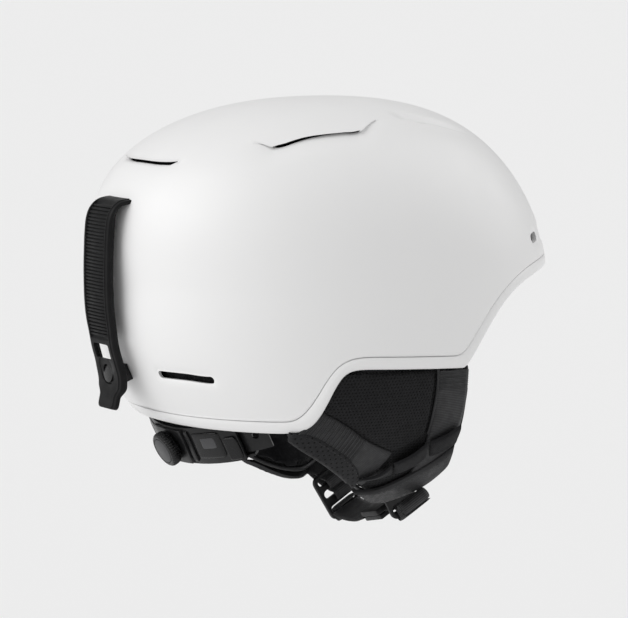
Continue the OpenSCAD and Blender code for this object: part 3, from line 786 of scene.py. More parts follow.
# ---------------------------------------------------------------------------
# Foam liner, slip liner and anchors
# ---------------------------------------------------------------------------
def make_foam():
    a = np.linspace(0, 360, 240, endpoint=False)
    e = meet(edge_z, a)
    rows = 44
    rear = smooth((np.abs(((a + 180) % 360) - 180) - 118) / 18)
    t = np.sin(np.linspace(0, math.pi / 2, rows))
    bottom = e + 2.6

    def side(d, lift):
        return (bottom + lift)[:, None] + (CROWN - d - bottom - lift)[:, None] * t[None]

    z_out = side(7.0, 0)
    outer = skin(a[:, None], z_out, np.where(t < 0.04, 7.5, 7.0)[None])
    z_in = side(FOAM_IN, 4.0)
    clear = rear[:, None] * smooth((-38 - z_in) / 14) * 13
    groove = 3.5 * np.exp(-(((np.abs(skin(a[:, None], z_in, FOAM_IN)[..., 1]) - 24) / 7) ** 4))
    groove = groove * smooth((z_in - 8) / 25)
    inner = skin(a[:, None], z_in, FOAM_IN - clear - groove)
    inner[:, 0] = skin(a, bottom + 1.2, FOAM_IN - 3 - clear[:, 0])
    outer[:, 0] = skin(a, bottom, 9.0)
    piece = slab("foam_liner_beads", outer, inner, closed=True, pole=True)
    bevel(piece, 1.6, 3, 40)
    return piece


place(make_foam(), "helmet", FOAM, ["foam_liner"])


def make_slip():
    a = np.linspace(0, 360, 288, endpoint=False)
    low = np.maximum(meet(edge_z, a) + 16, -18.0)
    low = low + 3.5 * np.sin(np.radians(a * 10)) ** 2
    t = np.linspace(0, 1, 60)
    g_low = arc_of(low)
    z = height_of(g_low[:, None] + (G_CROWN - g_low)[:, None] * t[None])
    scale = (CROWN - FOAM_IN - 1.3 - BELT) / (CROWN - BELT)
    z = np.where(z > BELT, BELT + (z - BELT) * scale, z)
    grid = skin(a[:, None], z, FOAM_IN + 1.3)
    x, y = grid[..., 0], grid[..., 1]
    # Long openings over the foam's channels
    window = (np.abs(np.abs(y) - 24) < 6.5) & (np.abs(np.abs(x) - 38) < 26) & (z > 38)
    side_window = (np.abs(((a[:, None] % 60) - 30)) < 8) & (z > 8) & (z < 24)
    mask = window | side_window
    holes = mask[:, :-1] & mask[:, 1:]
    holes = holes & np.roll(holes, -1, axis=0)
    back = skin(a[:, None], z, FOAM_IN + 2.1)
    return slab("slip_sheet_liner", grid, back, closed=True, holes=holes, pole=True)


place(make_slip(), "helmet", SLIP, ["slip_liner"])


def soften(node, width=0.35, segments=2):
    """Copy of a CAD node's mesh with rounded edges."""
    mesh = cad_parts[node].data.copy()
    mesh.materials.clear()
    piece = bpy.data.objects.new(node + "_moulded", mesh)
    bpy.context.scene.collection.objects.link(piece)
    bm = bmesh.new()
    bm.from_mesh(mesh)
    bmesh.ops.remove_doubles(bm, verts=bm.verts, dist=2e-6)
    bmesh.ops.dissolve_limit(bm, angle_limit=math.radians(2), verts=bm.verts, edges=bm.edges)
    bmesh.ops.recalc_face_normals(bm, faces=bm.faces)
    bm.to_mesh(mesh)
    bm.free()
    bevel(piece, width, segments, 32)
    keep_creases(piece, 60)
    return piece


place(soften("slip_anchors", 0.3), "helmet", RUBBER, ["slip_anchors"])
place(soften("strap_rivets", 0.25), "helmet", STEEL, ["strap_rivets"])

# ---------------------------------------------------------------------------
# Comfort pads inside
# ---------------------------------------------------------------------------
PAD_OUT = FOAM_IN + 3.5


def layer_pad(name, a_range, z_range, depth=7.0, inset=1.2, corner=0.25):
    """Closed form of a pad on the inside, with rounded plan corners, ready to be stuffed."""
    u, v = np.linspace(-1, 1, 40), np.linspace(-1, 1, 24)
    uu, vv = np.meshgrid(u, v, indexing="ij")
    limit = 1 - corner * np.clip(np.abs(uu) - 0.82, 0, None) ** 2 / 0.18**2 * 0.55
    a = a_range[0] + (a_range[1] - a_range[0]) * (uu + 1) / 2
    z = z_range[0] + (z_range[1] - z_range[0]) * (vv * limit + 1) / 2
    edge = np.clip(1 - np.maximum(np.abs(uu), np.abs(vv)) ** 6, 0, 1) ** 0.5
    face = PAD_OUT + inset + (depth - 2 * inset) * (0.35 + 0.65 * edge)
    return slab(name, skin(a, z, PAD_OUT + inset * 0.2), skin(a, z, face))


def stitch_line(piece, rows):
    """Draws sewn channels: points near a row's plane sink along their normal.

    Each row is (axis, place, width, depth).
    """
    mesh = piece.data
    co = np.zeros(len(mesh.vertices) * 3)
    no = np.zeros(len(mesh.vertices) * 3)
    mesh.vertices.foreach_get("co", co)
    mesh.vertices.foreach_get("normal", no)
    co, no = co.reshape(-1, 3), no.reshape(-1, 3)
    for axis, at, width, depth in rows:
        axis = np.array(axis, float)
        d = (co / MM) @ axis - at
        co = co - no * (depth * MM * np.exp(-((d / width) ** 2)))[:, None]
    mesh.vertices.foreach_set("co", co.ravel())
    mesh.update()


front = puff(layer_pad("brow_cushion", (-57, 57), (19, 47), 8.0), 3.2, 3.0, 2.0)
stitch_line(front, [((0, 1, 0), y, 1.6, 1.1) for y in (-44, -15, 15, 44)])
place(front, "helmet", KNIT, ["brow_pad"])

crown_parts = []
for index, turn in enumerate((-90, 90)):
    form = layer_pad(f"crown_cushion_{index}", (turn - 66, turn + 66), (54, 80), 8.0)
    crown_parts.append(puff(form, 3.6, 3.0, 2.0))
crown = joined("crown_cushions", crown_parts)
stitch_line(crown, [((1, 0, 0), x, 1.6, 1.0) for x in (-40, 0, 40)])
place(crown, "helmet", KNIT, ["crown_pad"])

right = puff(layer_pad("side_cushion_right", (-118, -64), (-7, 43), 7.5), 3.2, 3.0, 2.0)
stitch_line(right, [((0, 0, 1), 18, 1.6, 1.0)])
left = mirrored(right, "side_cushion_left")
place(right, "helmet", KNIT, ["side_pad_right"])
place(left, "helmet", KNIT, ["side_pad_left"])

# ---------------------------------------------------------------------------
# Goggle clip: one rubber strap that bends at its top, with a ribbed panel, window and stud
# ---------------------------------------------------------------------------
CLIP_W = 30.0
OUTSIDE = [(-132.0, 64.2), (-136.5, 63.9), (-140.8, 62.9), (-144.0, 60.8), (-146.8, 57.3),
           (-148.6, 52.5), (-149.6, 45.0), (-150.1, 36.0), (-150.5, 20.0), (-149.8, 0.0),
           (-148.0, -12.0), (-146.2, -22.0), (-143.4, -32.0), (-141.7, -40.0), (-141.7, -45.0),
           (-142.9, -51.0), (-144.2, -56.8)]
RIB_TOP, RIB_LOW = 61.6, -16.0


def clip_path(count=220):
    p = resample(OUTSIDE, count)
    t = unit(np.gradient(p, axis=0))
    inward = np.stack([-t[:, 1], t[:, 0]], -1)
    return p, -inward if inward[count // 2, 0] < 0 else inward


def make_clip():
    p, inward = clip_path()
    z = p[:, 1]
    panel = smooth((RIB_TOP + 1.2 - z) / 1.2) * smooth((z - RIB_LOW + 1.2) / 1.2)
    tab = smooth((-44 - z) / 6)
    thick = 5.0 - 1.4 * tab - 1.9 * smooth((z - 50) / 11)
    half = CLIP_W / 2 - 0.9 * smooth((-6 - z) / 12) + 0.7 * np.exp(-(((z + 37) / 5) ** 2)) - 3.4 * tab
    half = half - 3.0 * (1 - np.sqrt(np.clip(1 - np.clip((-53.8 - z) / 3.05, 0, 1) ** 2, 0, 1)))
    rail = 3.4
    rings = []
    for k in range(len(p)):
        w, th, r = half[k], thick[k], 1.25 * panel[k]
        m = w - rail
        web = min(th, 3.0)
        section = [(-w, 1.3), (-w + 0.3, 0.75), (-w + 1.0, 0.55), (-m - 1.0, 0.5), (-m - 0.7, 0.0),
                   (-m - 0.15, 0.0), (-m, r), (-m * 0.5, r), (0, r), (m * 0.5, r), (m, r),
                   (m + 0.15, 0.0), (m + 0.7, 0.0), (m + 1.0, 0.5), (w - 1.0, 0.55), (w - 0.3, 0.75),
                   (w, 1.3), (w, th * 0.6), (w - 0.2, th - 0.4), (w - 0.8, th), (w - 2.2, th),
                   (w - 2.8, web), (0, web), (-w + 2.8, web), (-w + 2.2, th), (-w + 0.8, th),
                   (-w + 0.2, th - 0.4), (-w, th * 0.6)]
        rings.append([(p[k, 0] + inward[k, 0] * h, y, p[k, 1] + inward[k, 1] * h) for y, h in section])
    piece = tube("clip_strap_rubber", rings)
    # The open window, and the oval recess and keyhole for the stud
    def at(z0):
        return np.array([np.interp(-z0, -z, p[:, 0]), 0, z0])

    for low, high, wide, round_end in ((-28.4, -19.4, 18.0, 1.8), (-41.2, -31.4, 9.0, 4.4)):
        middle = at((low + high) / 2)
        cutter = oval_block(middle, wide, high - low, 24, round_end, tilt=-14)
        cut(piece, cutter)
    cut(piece, oval_block(at(-24) + np.array([6.4, 0, 0]), 22.4, 13, 10, 2.5, tilt=-14))
    recess = oval_block(at(-36) + np.array([-4.6, 0, 0]), 15.5, 16.5, 9.4, 6.5, tilt=-14)
    cut(piece, recess)
    bevel(piece, 0.3, 2, 45)
    keep_creases(piece, 50)
    return piece


def oval_block(middle, width, height, depth, corner, tilt=0.0):
    """Block with rounded corners: width along y, height up, depth along x, leaned by tilt degrees."""
    outline = []
    for k, (sy, sz) in enumerate(((1, 1), (-1, 1), (-1, -1), (1, -1))):
        for turn in np.linspace(0, 90, 7):
            angle = math.radians(turn + 90 * k)
            outline.append((sy * (width / 2 - corner) + corner * math.cos(angle),
                            sz * (height / 2 - corner) + corner * math.sin(angle)))
    c, s = math.cos(math.radians(tilt)), math.sin(math.radians(tilt))
    rings = []
    for x in (-depth / 2, depth / 2):
        rings.append([(middle[0] + x * c + z * s, middle[1] + y, middle[2] - x * s + z * c)
                      for y, z in outline])
    return tube("cutter", rings)


def make_ribs(count=38):
    """Grip ribs across the panel, each a rounded bar."""
    p, inward = clip_path(400)
    z = p[:, 1]
    bars = []
    for k in range(count):
        height = RIB_TOP - 1.6 - (RIB_TOP - RIB_LOW - 3.2) * k / (count - 1)
        i = int(np.argmin(np.abs(z - height)))
        along = unit(p[min(i + 4, len(p) - 1)] - p[max(i - 4, 0)])
        pitch = (RIB_TOP - RIB_LOW - 3.2) / (count - 1)
        half = CLIP_W / 2 - 3.3 - 0.9 * smooth((-6 - height) / 12)
        rings = []
        for y in (-half, -half + 0.5, half - 0.5, half):
            squeeze = 0.75 if abs(y) == half else 1.0
            ring = []
            for u, h in ((-0.36, 1.5), (-0.36, 0.55), (-0.22, 0.3), (0.22, 0.3), (0.36, 0.55), (0.36, 1.5)):
                grow = 0.25 if squeeze < 1 and h < 1 else 0
                q = p[i] + along * u * pitch * squeeze + inward[i] * (h + grow)
                ring.append((q[0], y, q[1]))
            rings.append(ring)
        bars.append(tube("bar", rings))
    piece = joined("clip_grip_ribs", bars)
    keep_creases(piece, 45)
    return piece


strap = make_clip()
ribs = make_ribs()
for piece, slot, nodes in (
    (strap, "clip_rubber", ["clip_strap", "clip_base", "clip_pin"]),
    (ribs, "clip_ribs", ["clip_grip"]),
):
    piece.data.materials.append(RUBBER)
    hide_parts(*nodes)
    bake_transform(piece)

place(soften("clip_stud", 0.5, 3), "helmet", GLOSS, ["clip_stud"])

# ---------------------------------------------------------------------------
# Fit system
# ---------------------------------------------------------------------------
for node, body, slot, look, width in (
    ("height_rail", "helmet", "fit_plastic", PLASTIC, 0.6),
    ("cradle_yoke", "cradle", "fit_plastic", PLASTIC, 0.5),
    ("dial_cover", "cradle", "fit_plastic", PLASTIC, 0.8),
    ("arm_right", "arm_right", "fit_plastic", PLASTIC, 0.3),
    ("arm_left", "arm_left", "fit_plastic", PLASTIC, 0.3),
    ("dial_pinion", "dial", "dial_plastic", PLASTIC, 0.15),
    ("dial_cap", "dial", "dial_face", FACE, 0.4)):
    place(soften(node, width), body, look, [node])

RING_TILT, RING_R, RING_BACK = math.radians(26), 86.0, np.array([-94.0, 0, -79.0])


def ring_point(angle, r, z):
    """Point of the fit ring: angle from the back to the wearer's right, radius from the arms, height."""
    a = np.radians(angle)
    x, y = -(RING_R + r) * np.cos(a) + RING_R, -(RING_R + r) * np.sin(a)
    c, s = math.cos(RING_TILT), math.sin(RING_TILT)
    xyz = (RING_BACK[0] + x * c - z * s, RING_BACK[1] + y, RING_BACK[2] + x * s + z * c)
    return np.stack(np.broadcast_arrays(*xyz), -1)


def make_knob(teeth=40):
    """Knurled knob with a dished face round its cap."""
    turns = np.radians(np.arange(0, 360, 1.5))
    wave = 0.5 - 0.5 * np.cos(teeth * turns)
    profile = [(3.7, 0, 0), (8.6, 0, 0), (9.6, 0.3, 0), (10.2, 0.9, 0.5), (10.6, 1.6, 0.9),
               (10.8, 3.2, 0.9), (10.8, 4.6, 0.9), (10.5, 5.5, 0.7), (9.9, 6.2, 0.2), (9.2, 6.55, 0),
               (8.5, 6.6, 0), (7.9, 6.35, 0), (7.75, 5.3, 0), (3.7, 5.3, 0)]
    rings = []
    for r, h, knurl in profile:
        radius = r - knurl * wave * 0.75
        middle = ring_point(0, 7.4 + h, radius * np.sin(turns))
        rings.append(middle + np.stack([0 * turns, radius * np.cos(turns), 0 * turns], -1))
    return keep_creases(tube("dial_knurled", rings, closed=True), 40)


def ring_plate(name, a_range, z_range, r_low, r_high, corner=0.2):
    """Raised plate on the fit system's housing, with rounded corners."""
    s = np.linspace(-1, 1, 25)
    aa, zz = np.meshgrid(s, s, indexing="ij")
    pull = 1 - corner * (np.abs(aa) * np.abs(zz)) ** 6
    angle = np.mean(a_range) + aa * pull * (a_range[1] - a_range[0]) / 2
    height = np.mean(z_range) + zz * pull * (z_range[1] - z_range[0]) / 2
    edge = np.clip(1 - np.maximum(np.abs(aa), np.abs(zz)) ** 12, 0, 1) ** 0.5
    face = ring_point(angle, r_low + 0.1 + (r_high - r_low) * edge, height)
    return keep_creases(slab(name, face, ring_point(angle, r_low, height)), 50)


place(make_knob(), "dial", GLOSS, ["dial_knob"])
trim = [ring_plate("trim", (sign * 13, sign * 27), (-8.5, 8.8), 4.9, 5.9, 0.12) for sign in (-1, 1)]
trim += [ring_plate("trim", (sign * 27.8, sign * 33.6), (-11, 4.5), 4.9, 6.6, 0.25) for sign in (-1, 1)]
trim += [ring_plate("trim", (sign * 10, sign * 12.2), (-10.5, 10.5), 4.9, 6.3, 0.2) for sign in (-1, 1)]
place(joined("housing_trim", trim), "cradle", GLOSS, ["dial_cover"])
labels = [ring_plate("label", (sign * 17.5, sign * 24.5), (-1.5, 5.5), 5.7, 6.1, 0.15) for sign in (-1, 1)]
place(joined("blank_labels", labels), "cradle", FACE, ["dial_cover"])

nape_parts = []
for sign in (-1, 1):
    aa, zz = np.meshgrid(np.linspace(7, 27, 20), np.linspace(-10, 9, 16), indexing="ij")
    edge = np.clip(1 - np.maximum(np.abs((aa - 17) / 10), np.abs((zz + 0.5) / 9.5)) ** 6, 0, 1) ** 0.5
    form = slab("nape", ring_point(sign * aa, -3.9, zz), ring_point(sign * aa, -5 - 3.5 * edge, zz))
    nape_parts.append(puff(form, 2.6, 3, 1.5))
place(joined("nape_cushions", nape_parts), "cradle", KNIT, ["nape_pad"])

# ---------------------------------------------------------------------------
# Ear pads: everything is laid on one curved surface, in side view (x, z) with h outwards
# ---------------------------------------------------------------------------
PAD_TOP_Y, PAD_CURL, PAD_DROP = 106.0, 57.0, 82.0
PAD_LOW = through([(-71, -70), (-64, -75), (-54, -81), (-40, -89.5), (-24, -99.5), (-14, -106),
                  (-5, -111), (4, -114), (14, -115), (24, -112.5), (33, -108.5), (39, -103.5),
                  (42.5, -95)])


def pad_y(x, z):
    u = (-33 - z) / PAD_DROP
    reach = PAD_TOP_Y - PAD_CURL * (0.3 * u + 0.7 * np.clip(u, 0, None) ** 3)
    return reach * (1 - (np.abs(x) / HALF_L) ** PLAN) ** (1 / PLAN)


def on_pad(x, z, h=0.0):
    """Point of the right ear pad's surface, h outwards from it."""
    x, z, h = np.broadcast_arrays(np.asarray(x, float), z, h)
    e = 0.5
    dx = (pad_y(x + e, z) - pad_y(x - e, z)) / (2 * e)
    dz = (pad_y(x, z + e) - pad_y(x, z - e)) / (2 * e)
    n = unit(np.stack([-dx, -np.ones_like(dx), -dz], -1))
    return np.stack([x, -pad_y(x, z), z], -1) + n * h[..., None]


def pad_top(x):
    x = np.asarray(x, float)
    return edge_z(np.where(x < -30, x - 5, x)) - 0.4 - np.clip(x - 30, 0, None) * 0.8


def between(low, high, nu=60, nv=30):
    """Grid of side-view points between a lower and an upper curve."""
    b, t = resample(low, nu), resample(high, nu)
    v = np.linspace(0, 1, nv)[None, :, None]
    return b[:, None] * (1 - v) + t[:, None] * v


def edge_fall(nu, nv, along=0.06, across=0.1):
    """1 inside a patch and 0 at its border, for pillow edges."""
    u, v = np.linspace(0, 1, nu)[:, None], np.linspace(0, 1, nv)[None]
    near_u = np.clip(np.minimum(u, 1 - u) / along, 0, 1)
    near_v = np.clip(np.minimum(v, 1 - v) / across, 0, 1)
    near = near_u * near_v
    return np.sqrt(np.clip(1 - (1 - near) ** 2, 0, 1))


def patch(name, low, high, top, base, nu=60, nv=30, along=0.06, across=0.1, dip=1.0):
    """Sewn-on layer of the pad: its face at h = top, falling by dip at its border, its back at h = base."""
    g = between(low, high, nu, nv)
    fall = edge_fall(nu, nv, along, across)
    face = np.broadcast_to(top, (nu, nv)) - dip * (1 - fall)
    outer = on_pad(g[..., 0], g[..., 1], face)
    return slab(name, outer, on_pad(g[..., 0], g[..., 1], base))


SEAM_LOW = [(-57, -54), (-54, -55.5), (-40, -63.5), (-25, -73.3), (-17, -77.5), (-5, -82.5), (5, -79),
            (15, -73)]
SEAM_HIGH = [(-52, -40), (-47, -34), (-40, -31.5), (-25, -32), (0, -32.5), (14.5, -33)]


def make_pad_body():
    """Foam core in black fabric, with a fuller panel of air mesh above the straps."""
    x = np.linspace(-70.5, 42, 64)
    v = np.linspace(0, 1, 40)
    low, high = PAD_LOW(x), pad_top(x) + 1.5
    z = high[:, None] + (low - high)[:, None] * v[None]
    xx = np.broadcast_to(x[:, None], z.shape)
    fall = edge_fall(64, 40, 0.035, 0.06)
    core = slab("core", on_pad(xx, z, -1.4 - 2.2 * (1 - fall)), on_pad(xx, z, -8.2 + 2.0 * (1 - fall)))
    core = puff(core, 3.0, 2.5, 0.9)
    panel = patch("panel", SEAM_LOW, SEAM_HIGH, 0.4, -3.4, 64, 36, 0.04, 0.07, 2.0)
    panel = puff(panel, 2.2, 3.0, 1.3)
    return joined("ear_pad_right_fabric", [core, panel])


def make_lining():
    x = np.linspace(-72.5, 41.5, 60)
    v = np.linspace(0, 1, 36)
    low, high = PAD_LOW(x) - 0.6 - 3.2 * (1 - smooth((x - 2) / 18)), pad_top(x) - 1
    z = high[:, None] + (low - high)[:, None] * v[None]
    xx = np.broadcast_to(x[:, None], z.shape)
    fall = edge_fall(60, 36, 0.05, 0.1)
    face, back = on_pad(xx, z, -8.4 - 1.6 * (1 - fall)), on_pad(xx, z, -13.2 + 3.0 * (1 - fall))
    piece = puff(slab("ear_lining_right_plush", face, back), 3.0, 4.0, 2.2)
    mesh = piece.data
    co = np.zeros(len(mesh.vertices) * 3)
    mesh.vertices.foreach_get("co", co)
    co = co.reshape(-1, 3)
    x, y, z = (co / MM).T
    # A round opening over the ear, pressed into the plush
    r = np.hypot((x + 8) / 26, (z + 63) / 22)
    inner = smooth((y + pad_y(x, z) - 10) / 2)
    co[:, 1] -= MM * inner * (2.6 * (1 - smooth((r - 0.72) / 0.2)) + 0.7 * np.exp(-(((r - 1.0) / 0.07) ** 2)))
    mesh.vertices.foreach_set("co", co.ravel())
    mesh.update()
    return piece


def ribbed(low, high, name, pitch, start, end, top, base, nv=8, count=240):
    """Elastic with ribs across it between start and end of its run, smooth after that."""
    g = between(low, high, count, nv)
    length = np.linalg.norm(np.diff(g[:, nv // 2], axis=0), axis=-1).sum()
    s = np.linspace(0, length, count)
    zone = smooth((s - start) / 0.8) * smooth((end - s) / 0.8)
    wave = 0.24 * zone * (np.cos(2 * math.pi * s / pitch) - 1)
    fall = edge_fall(count, nv, 0.012, 0.08)
    outer = on_pad(g[..., 0], g[..., 1], top + wave[:, None] - 0.5 * (1 - fall))
    return slab(name, outer, on_pad(g[..., 0], g[..., 1], base))


def stitches(name, curve, h, pitch=3.0, length=1.9, radius=0.24):
    """A run of thread stitches along a side-view curve."""
    p = resample(curve, 400)
    s = np.concatenate([[0], np.cumsum(np.linalg.norm(np.diff(p, axis=0), axis=-1))])
    parts = []
    for k in range(int(s[-1] / pitch)):
        want = np.linspace(k * pitch, k * pitch + length, 7)
        x, z = np.interp(want, s, p[:, 0]), np.interp(want, s, p[:, 1])
        lift = h + radius * (0.9 - 1.8 * (np.linspace(-1, 1, 7) ** 2))
        parts.append(cord_tube("stitch", on_pad(x, z, lift), radius, 6))
    return joined(name, parts)


REAR_HIGH = [(-58, -52.5), (-54, -54.8), (-40, -63), (-25, -73), (-17, -77), (-5, -82)]
REAR_LOW = [(-68, -69), (-60, -73), (-45, -84), (-32, -93), (-22, -99), (-12, -103)]
FLAP_HIGH = [(-71.5, -66), (-69, -66.3), (-60, -67.2), (-45, -75), (-29, -85.5), (-21, -93), (-17, -99)]
FLAP_LOW = [(-70.8, -70.2), (-64, -75), (-54, -81), (-40, -89.7), (-30, -96), (-24, -100), (-17, -105)]
LOOPS = [
    ([(-19, -98.5), (-10, -97.5), (3, -95.5)], [(-17.5, -95), (-9, -92), (-3.5, -87.5)]),
    ([(5, -96), (13, -91.5), (21, -86.5)], [(-2.5, -86.5), (6, -81.5), (15.3, -75)]),
    ([(23, -86.5), (31, -83), (39, -79)], [(16.8, -74.8), (26, -71), (36.5, -66.5)]),
]
BAND_HIGH = [(-17, -105.5), (-8, -106.4), (1, -106), (11, -101), (20, -95), (29, -88.5), (38, -80.5)]
BAND_LOW = [(-8, -108.8), (-2, -112.3), (6, -115.5), (15, -116.3), (24, -113.2), (33, -106.5), (40.5, -93)]


def make_loops():
    """Three fabric loops over the straps, each standing proud at its upper edge."""
    parts = []
    for low, high in LOOPS:
        g = between(low, high, 26, 18)
        v = np.linspace(0, 1, 18)[None]
        u = np.linspace(0, 1, 26)[:, None]
        arch = 0.9 * np.sin(math.pi * u) + 0 * v
        lift = 2.2 + 2.3 * smooth(v) + arch
        fall = edge_fall(26, 18, 0.1, 0.12)
        outer = on_pad(g[..., 0], g[..., 1], lift + 0.5 - 1.2 * (1 - fall))
        inner = on_pad(g[..., 0], g[..., 1], lift - 1.1 + 0 * fall)
        part = slab("loop", outer, inner)
        bevel(part, 0.35, 2, 40)
        parts.append(part)
    return joined("ear_loops_right_fabric", parts)


def make_band_trim():
    g = between(BAND_LOW, BAND_HIGH, 70, 18)
    fall = edge_fall(70, 18, 0.05, 0.16)
    outer = on_pad(g[..., 0], g[..., 1], 4.0 - 1.5 * (1 - fall))
    inner = on_pad(g[..., 0], g[..., 1], 0.9)
    part = slab("ear_band_right_leather", outer, inner)
    bevel(part, 0.4, 2, 40)
    return part


def pad_curve(low, high, v, start=0.04, end=0.96):
    """Side-view curve at share v of the way between two edges."""
    g = between(low, high, 100, 3)
    line = g[:, 0] * (1 - v) + g[:, 2] * v
    return line[int(start * 99):int(end * 99) + 1]


def piping(name, curve, h, radius):
    p = resample(curve, 160)
    return cord_tube(name, on_pad(p[:, 0], p[:, 1], h), radius, 10)


def both_sides(piece, twin_name, look, node):
    """Places a right-hand piece and its mirror image."""
    twin = mirrored(piece, twin_name)
    place(piece, "helmet", look, [node + "_right"])
    place(twin, "helmet", look, [node + "_left"])


both_sides(make_pad_body(), "ear_pad_left_fabric", MESH, "ear_pad")
both_sides(make_lining(), "ear_lining_left_plush", PILE, "ear_lining")
flap = patch("ear_flap_right", FLAP_LOW, FLAP_HIGH, 2.4, -5.5, 70, 20, 0.05, 0.16, 1.8)
bevel(flap, 0.5, 2, 40)
both_sides(flap, "ear_flap_left", PERFORATED, "ear_pad")
edge_x = np.linspace(-70, 42, 30)
edge_curve = list(zip(edge_x, PAD_LOW(edge_x) - 0.3))
edge_curve += [(42.6, -85), (42, -70), (41, -55), (39.5, -42)]
trim = joined("ear_piping_right", [
    piping("edge", edge_curve, -3.2, 1.3),
    piping("flap", FLAP_LOW[:-1], 0.3, 1.0),
    piping("seam", [(14.8, -33), (16, -45), (16, -58), (15.8, -72)], 0.6, 0.8),
])
both_sides(trim, "ear_piping_left", LEATHER, "ear_pad")
both_sides(make_loops(), "ear_loops_left_fabric", STRETCH, "ear_loops")
both_sides(make_band_trim(), "ear_band_left_leather", LEATHER, "ear_band")
thread = joined("ear_stitches_right", [
    stitches("a", pad_curve(BAND_LOW, BAND_HIGH, 0.86), 3.75),
    stitches("b", pad_curve(BAND_LOW, BAND_HIGH, 0.14), 3.7),
    stitches("c", pad_curve(FLAP_LOW, FLAP_HIGH, 0.84, 0.1), 2.2),
])
both_sides(thread, "ear_stitches_left", LEATHER, "ear_band")

# ---------------------------------------------------------------------------
# Straps, dividers and buckle
# ---------------------------------------------------------------------------
def make_front_strap():
    left_side = [(14.5, -34), (16, -50), (16.5, -62), (17, -80), (17.5, -100), (17, -114)]
    right_side = [(37.5, -35), (38.5, -50), (38.3, -62), (37.5, -80), (36.5, -98), (34.5, -111)]
    return ribbed(left_side, right_side, "front_strap_right_web", 1.15, -1, 11.5, 1.6, -0.1, nv=10, count=300)


both_sides(make_front_strap(), "front_strap_left_web", WEB, "front_strap")
both_sides(ribbed(REAR_LOW, REAR_HIGH, "rear_strap_right_web", 1.3, 1.0, 41.0, 1.3, -0.6, nv=12, count=300),
           "rear_strap_left_web", WEB, "rear_strap")
for side in ("right", "left"):
    place(soften("ear_studs_" + side, 0.4), "helmet", PLASTIC, ["ear_studs_" + side])
for node, body in (("buckle_socket", "helmet"), ("buckle_tongue", "chin")):
    place(soften(node, 0.8, 3), body, BUCKLE, [node])
for node in ("socket_magnet", "tongue_magnet"):
    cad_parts[node].data.materials.clear()
    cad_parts[node].data.materials.append(STEEL)

CHIN_X, ROLL, DIVIDER_LEAN = 38.0, math.radians(30), math.radians(5)
ACROSS = np.array([math.cos(ROLL), 0, math.sin(ROLL)])


def outline(low, high, corner, count=6):
    """Rounded rectangle between two (x, z) corners."""
    middle, half = (np.array(low) + high) / 2, (np.array(high) - low) / 2
    points = []
    for k, (sx, sz) in enumerate(((1, 1), (-1, 1), (-1, -1), (1, -1))):
        for turn in np.radians(90 * k + np.linspace(0, 90, count)):
            points.append((middle[0] + sx * (half[0] - corner) + corner * math.cos(turn),
                           middle[1] + sz * (half[1] - corner) + corner * math.sin(turn)))
    return points


def on_divider(at, side, x, y, z):
    """Point in a divider's own frame, moved to where the divider hangs."""
    q = np.array([x * math.cos(ROLL) - z * math.sin(ROLL), y, x * math.sin(ROLL) + z * math.cos(ROLL)])
    c, t = math.cos(DIVIDER_LEAN), -side * math.sin(DIVIDER_LEAN)
    return np.array(at) + (q[0], q[1] * c - q[2] * t, q[1] * t + q[2] * c)


def make_divider(name, at, side):
    """Ladder plate with rounded corners and three long holes."""
    def prism(edge, y0, y1):
        return tube("plate", [[on_divider(at, side, x, y, z) for x, z in edge] for y in (y0, y1)])

    plate = prism(outline((-12, -15.5), (12, 15), 4.5), -1.5, 1.5)
    openings = (((-9.4, 8), (9.4, 13), 2.4), ((-9.4, -0.8), (9.4, 4.4), 2.5), ((-10, -11), (10, -6.2), 2.2))
    for low, high, corner in openings:
        cut(plate, prism(outline(low, high, corner), -4, 4))
    plate.name = name
    bevel(plate, 0.6, 3, 45)
    return keep_creases(plate, 50)


DIVIDERS = {"left": ((34, 37, -126), 1), "right": ((34, -35, -115), -1)}
for side, (at, sign) in DIVIDERS.items():
    place(make_divider("strap_divider_" + side + "_moulded", at, sign), "helmet", BUCKLE,
          ["strap_divider_" + side])
    hung = []
    for top, z, slide, wide in (((23.5, 53.0, -112.5), 10.5, 2.2, 13.0), ((27.5, 53.5, -113.0), 1.8, 2.6, 12.6)):
        slide, wide = (slide, wide) if side == "left" else (0, 18)
        run = [on_divider(at, sign, slide, sign * y, z + dz) for y, dz in
               ((9.0, 4.6), (3.2, 1.2), (0.4, 0.0), (-2.6, -0.6), (-3.4, -3.0), (-3.6, -6.0))]
        if side == "left":
            run = [np.array(top)] + run
        hung.append(webbing("hung", run, ACROSS, wide, 1.4))
    loop = [on_divider(at, sign, 0, sign * y, z) for y, z in
            ((-2.9, -8.6), (-1.5, -8.2), (0, -8.0), (2.4, -9.4), (3.4, -13), (2.4, -16), (0.3, -17),
             (-1.2, -16.2), (-1.7, -14))]
    hung.append(webbing("hung", loop, ACROSS, 17.5, 1.3))
    place(joined("hung_webs_" + side, hung), "helmet", WEB, ["front_strap_" + side])


def chin_run(points):
    return [(CHIN_X, y, z - 0.8) for y, z in points]


LEFT_CHIN = [(32.5, -134.4), (27, -135.4), (20, -135.7), (12, -135.2), (6, -134.2), (0.2, -132.3)]
RIGHT_CHIN = [(-24.8, -123.4), (-28, -122.5), (-31.4, -121.5)]
for side, run, body in (("left", LEFT_CHIN, "chin"), ("right", RIGHT_CHIN, "helmet")):
    web = webbing(f"chin_strap_{side}_web", chin_run(run), ACROSS, 20, 1.5)
    place(web, body, WEB, ["chin_strap_" + side])


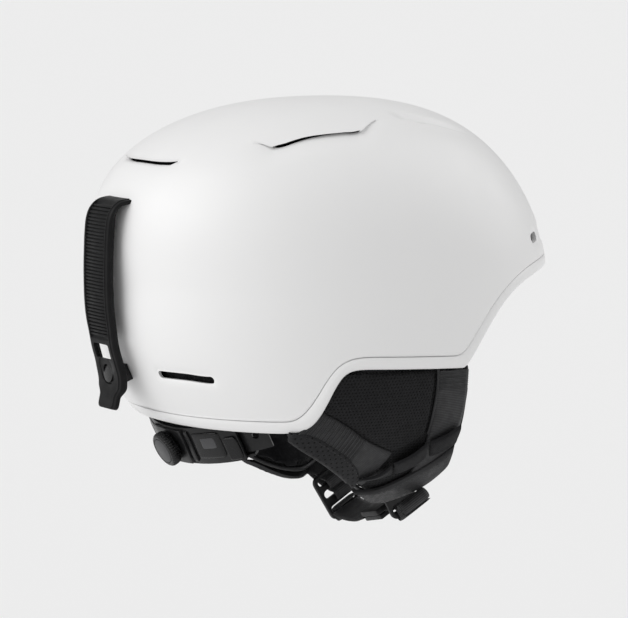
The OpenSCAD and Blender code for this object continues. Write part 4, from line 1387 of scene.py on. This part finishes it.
def make_tail():
    """Free end of the strap, rolled up."""
    turns = np.linspace(0, 3.1 * 2 * math.pi, 130)
    r = 1.1 + 3.2 * turns / turns[-1]
    path = np.stack([r * np.cos(turns), 0 * r, r * np.sin(turns)], -1)
    piece = webbing("strap_tail_roll", path, (0, 1, 0), 19, 0.85)
    turn = Matrix.Rotation(math.radians(60), 4, "Y") @ Matrix.Rotation(math.radians(90), 4, "X")
    piece.data.transform(Matrix.Translation(Vector((26.5, -62.5, -117.5)) * MM) @ turn)
    return piece


place(make_tail(), "helmet", WEB, ["strap_tail"])

# ---------------------------------------------------------------------------
# Floor, light and camera
# ---------------------------------------------------------------------------
scene = bpy.context.scene
scene.view_settings.view_transform = "Standard"
scene.view_settings.look = "None"
scene.view_settings.exposure = 0.0
scene.view_settings.gamma = 1.0
world = bpy.data.worlds.new("studio")
scene.world = world
world.use_nodes = True
world.node_tree.nodes["Background"].inputs["Color"].default_value = (1, 1, 1, 1)
world.node_tree.nodes["Background"].inputs["Strength"].default_value = 0.47

floor_mesh = bpy.data.meshes.new("floor")
floor_mesh.from_pydata([(x, y, -0.42) for x, y in ((-60, -60), (60, -60), (60, 60), (-60, 60))], [], [(0, 1, 2, 3)])
floor = bpy.data.objects.new("floor", floor_mesh)
scene.collection.objects.link(floor)
paper = Look("paper", (0.86, 0.86, 0.86), 0.9, Specular_IOR_Level=0.0)
paper.set("Emission Color", (1, 1, 1, 1))
paper.set("Emission Strength", 0.02)
floor_mesh.materials.append(paper.material)


def sun(name, towards, strength, spread):
    """Distant soft light that shines from a direction."""
    data = bpy.data.lights.new(name, "SUN")
    data.energy, data.angle = strength, math.radians(spread)
    light = bpy.data.objects.new(name, data)
    light.rotation_euler = Vector(towards).to_track_quat("Z", "Y").to_euler()
    scene.collection.objects.link(light)


# Key from the rear left of the picture, a rim light from its right and a weak side light
sun("key", (-0.82, 0.1, 0.62), 1.75, 60)
sun("side", (-0.65, -0.75, 0.1), 0.3, 60)
sun("rim", (0.85, -0.1, 0.5), 0.85, 50)

VIEW_BACK = Vector((-0.5117, -0.8517, 0.1132)).normalized()
camera_data = bpy.data.cameras.new("camera")
camera = bpy.data.objects.new("camera", camera_data)
scene.collection.objects.link(camera)
scene.camera = camera
camera.location = VIEW_BACK * 2.0
camera.rotation_euler = VIEW_BACK.to_track_quat("Z", "Y").to_euler()
camera_data.sensor_width = 36
camera_data.lens = 192.96
camera_data.shift_x = -0.0097
camera_data.shift_y = -0.0225
camera_data.clip_end = 100
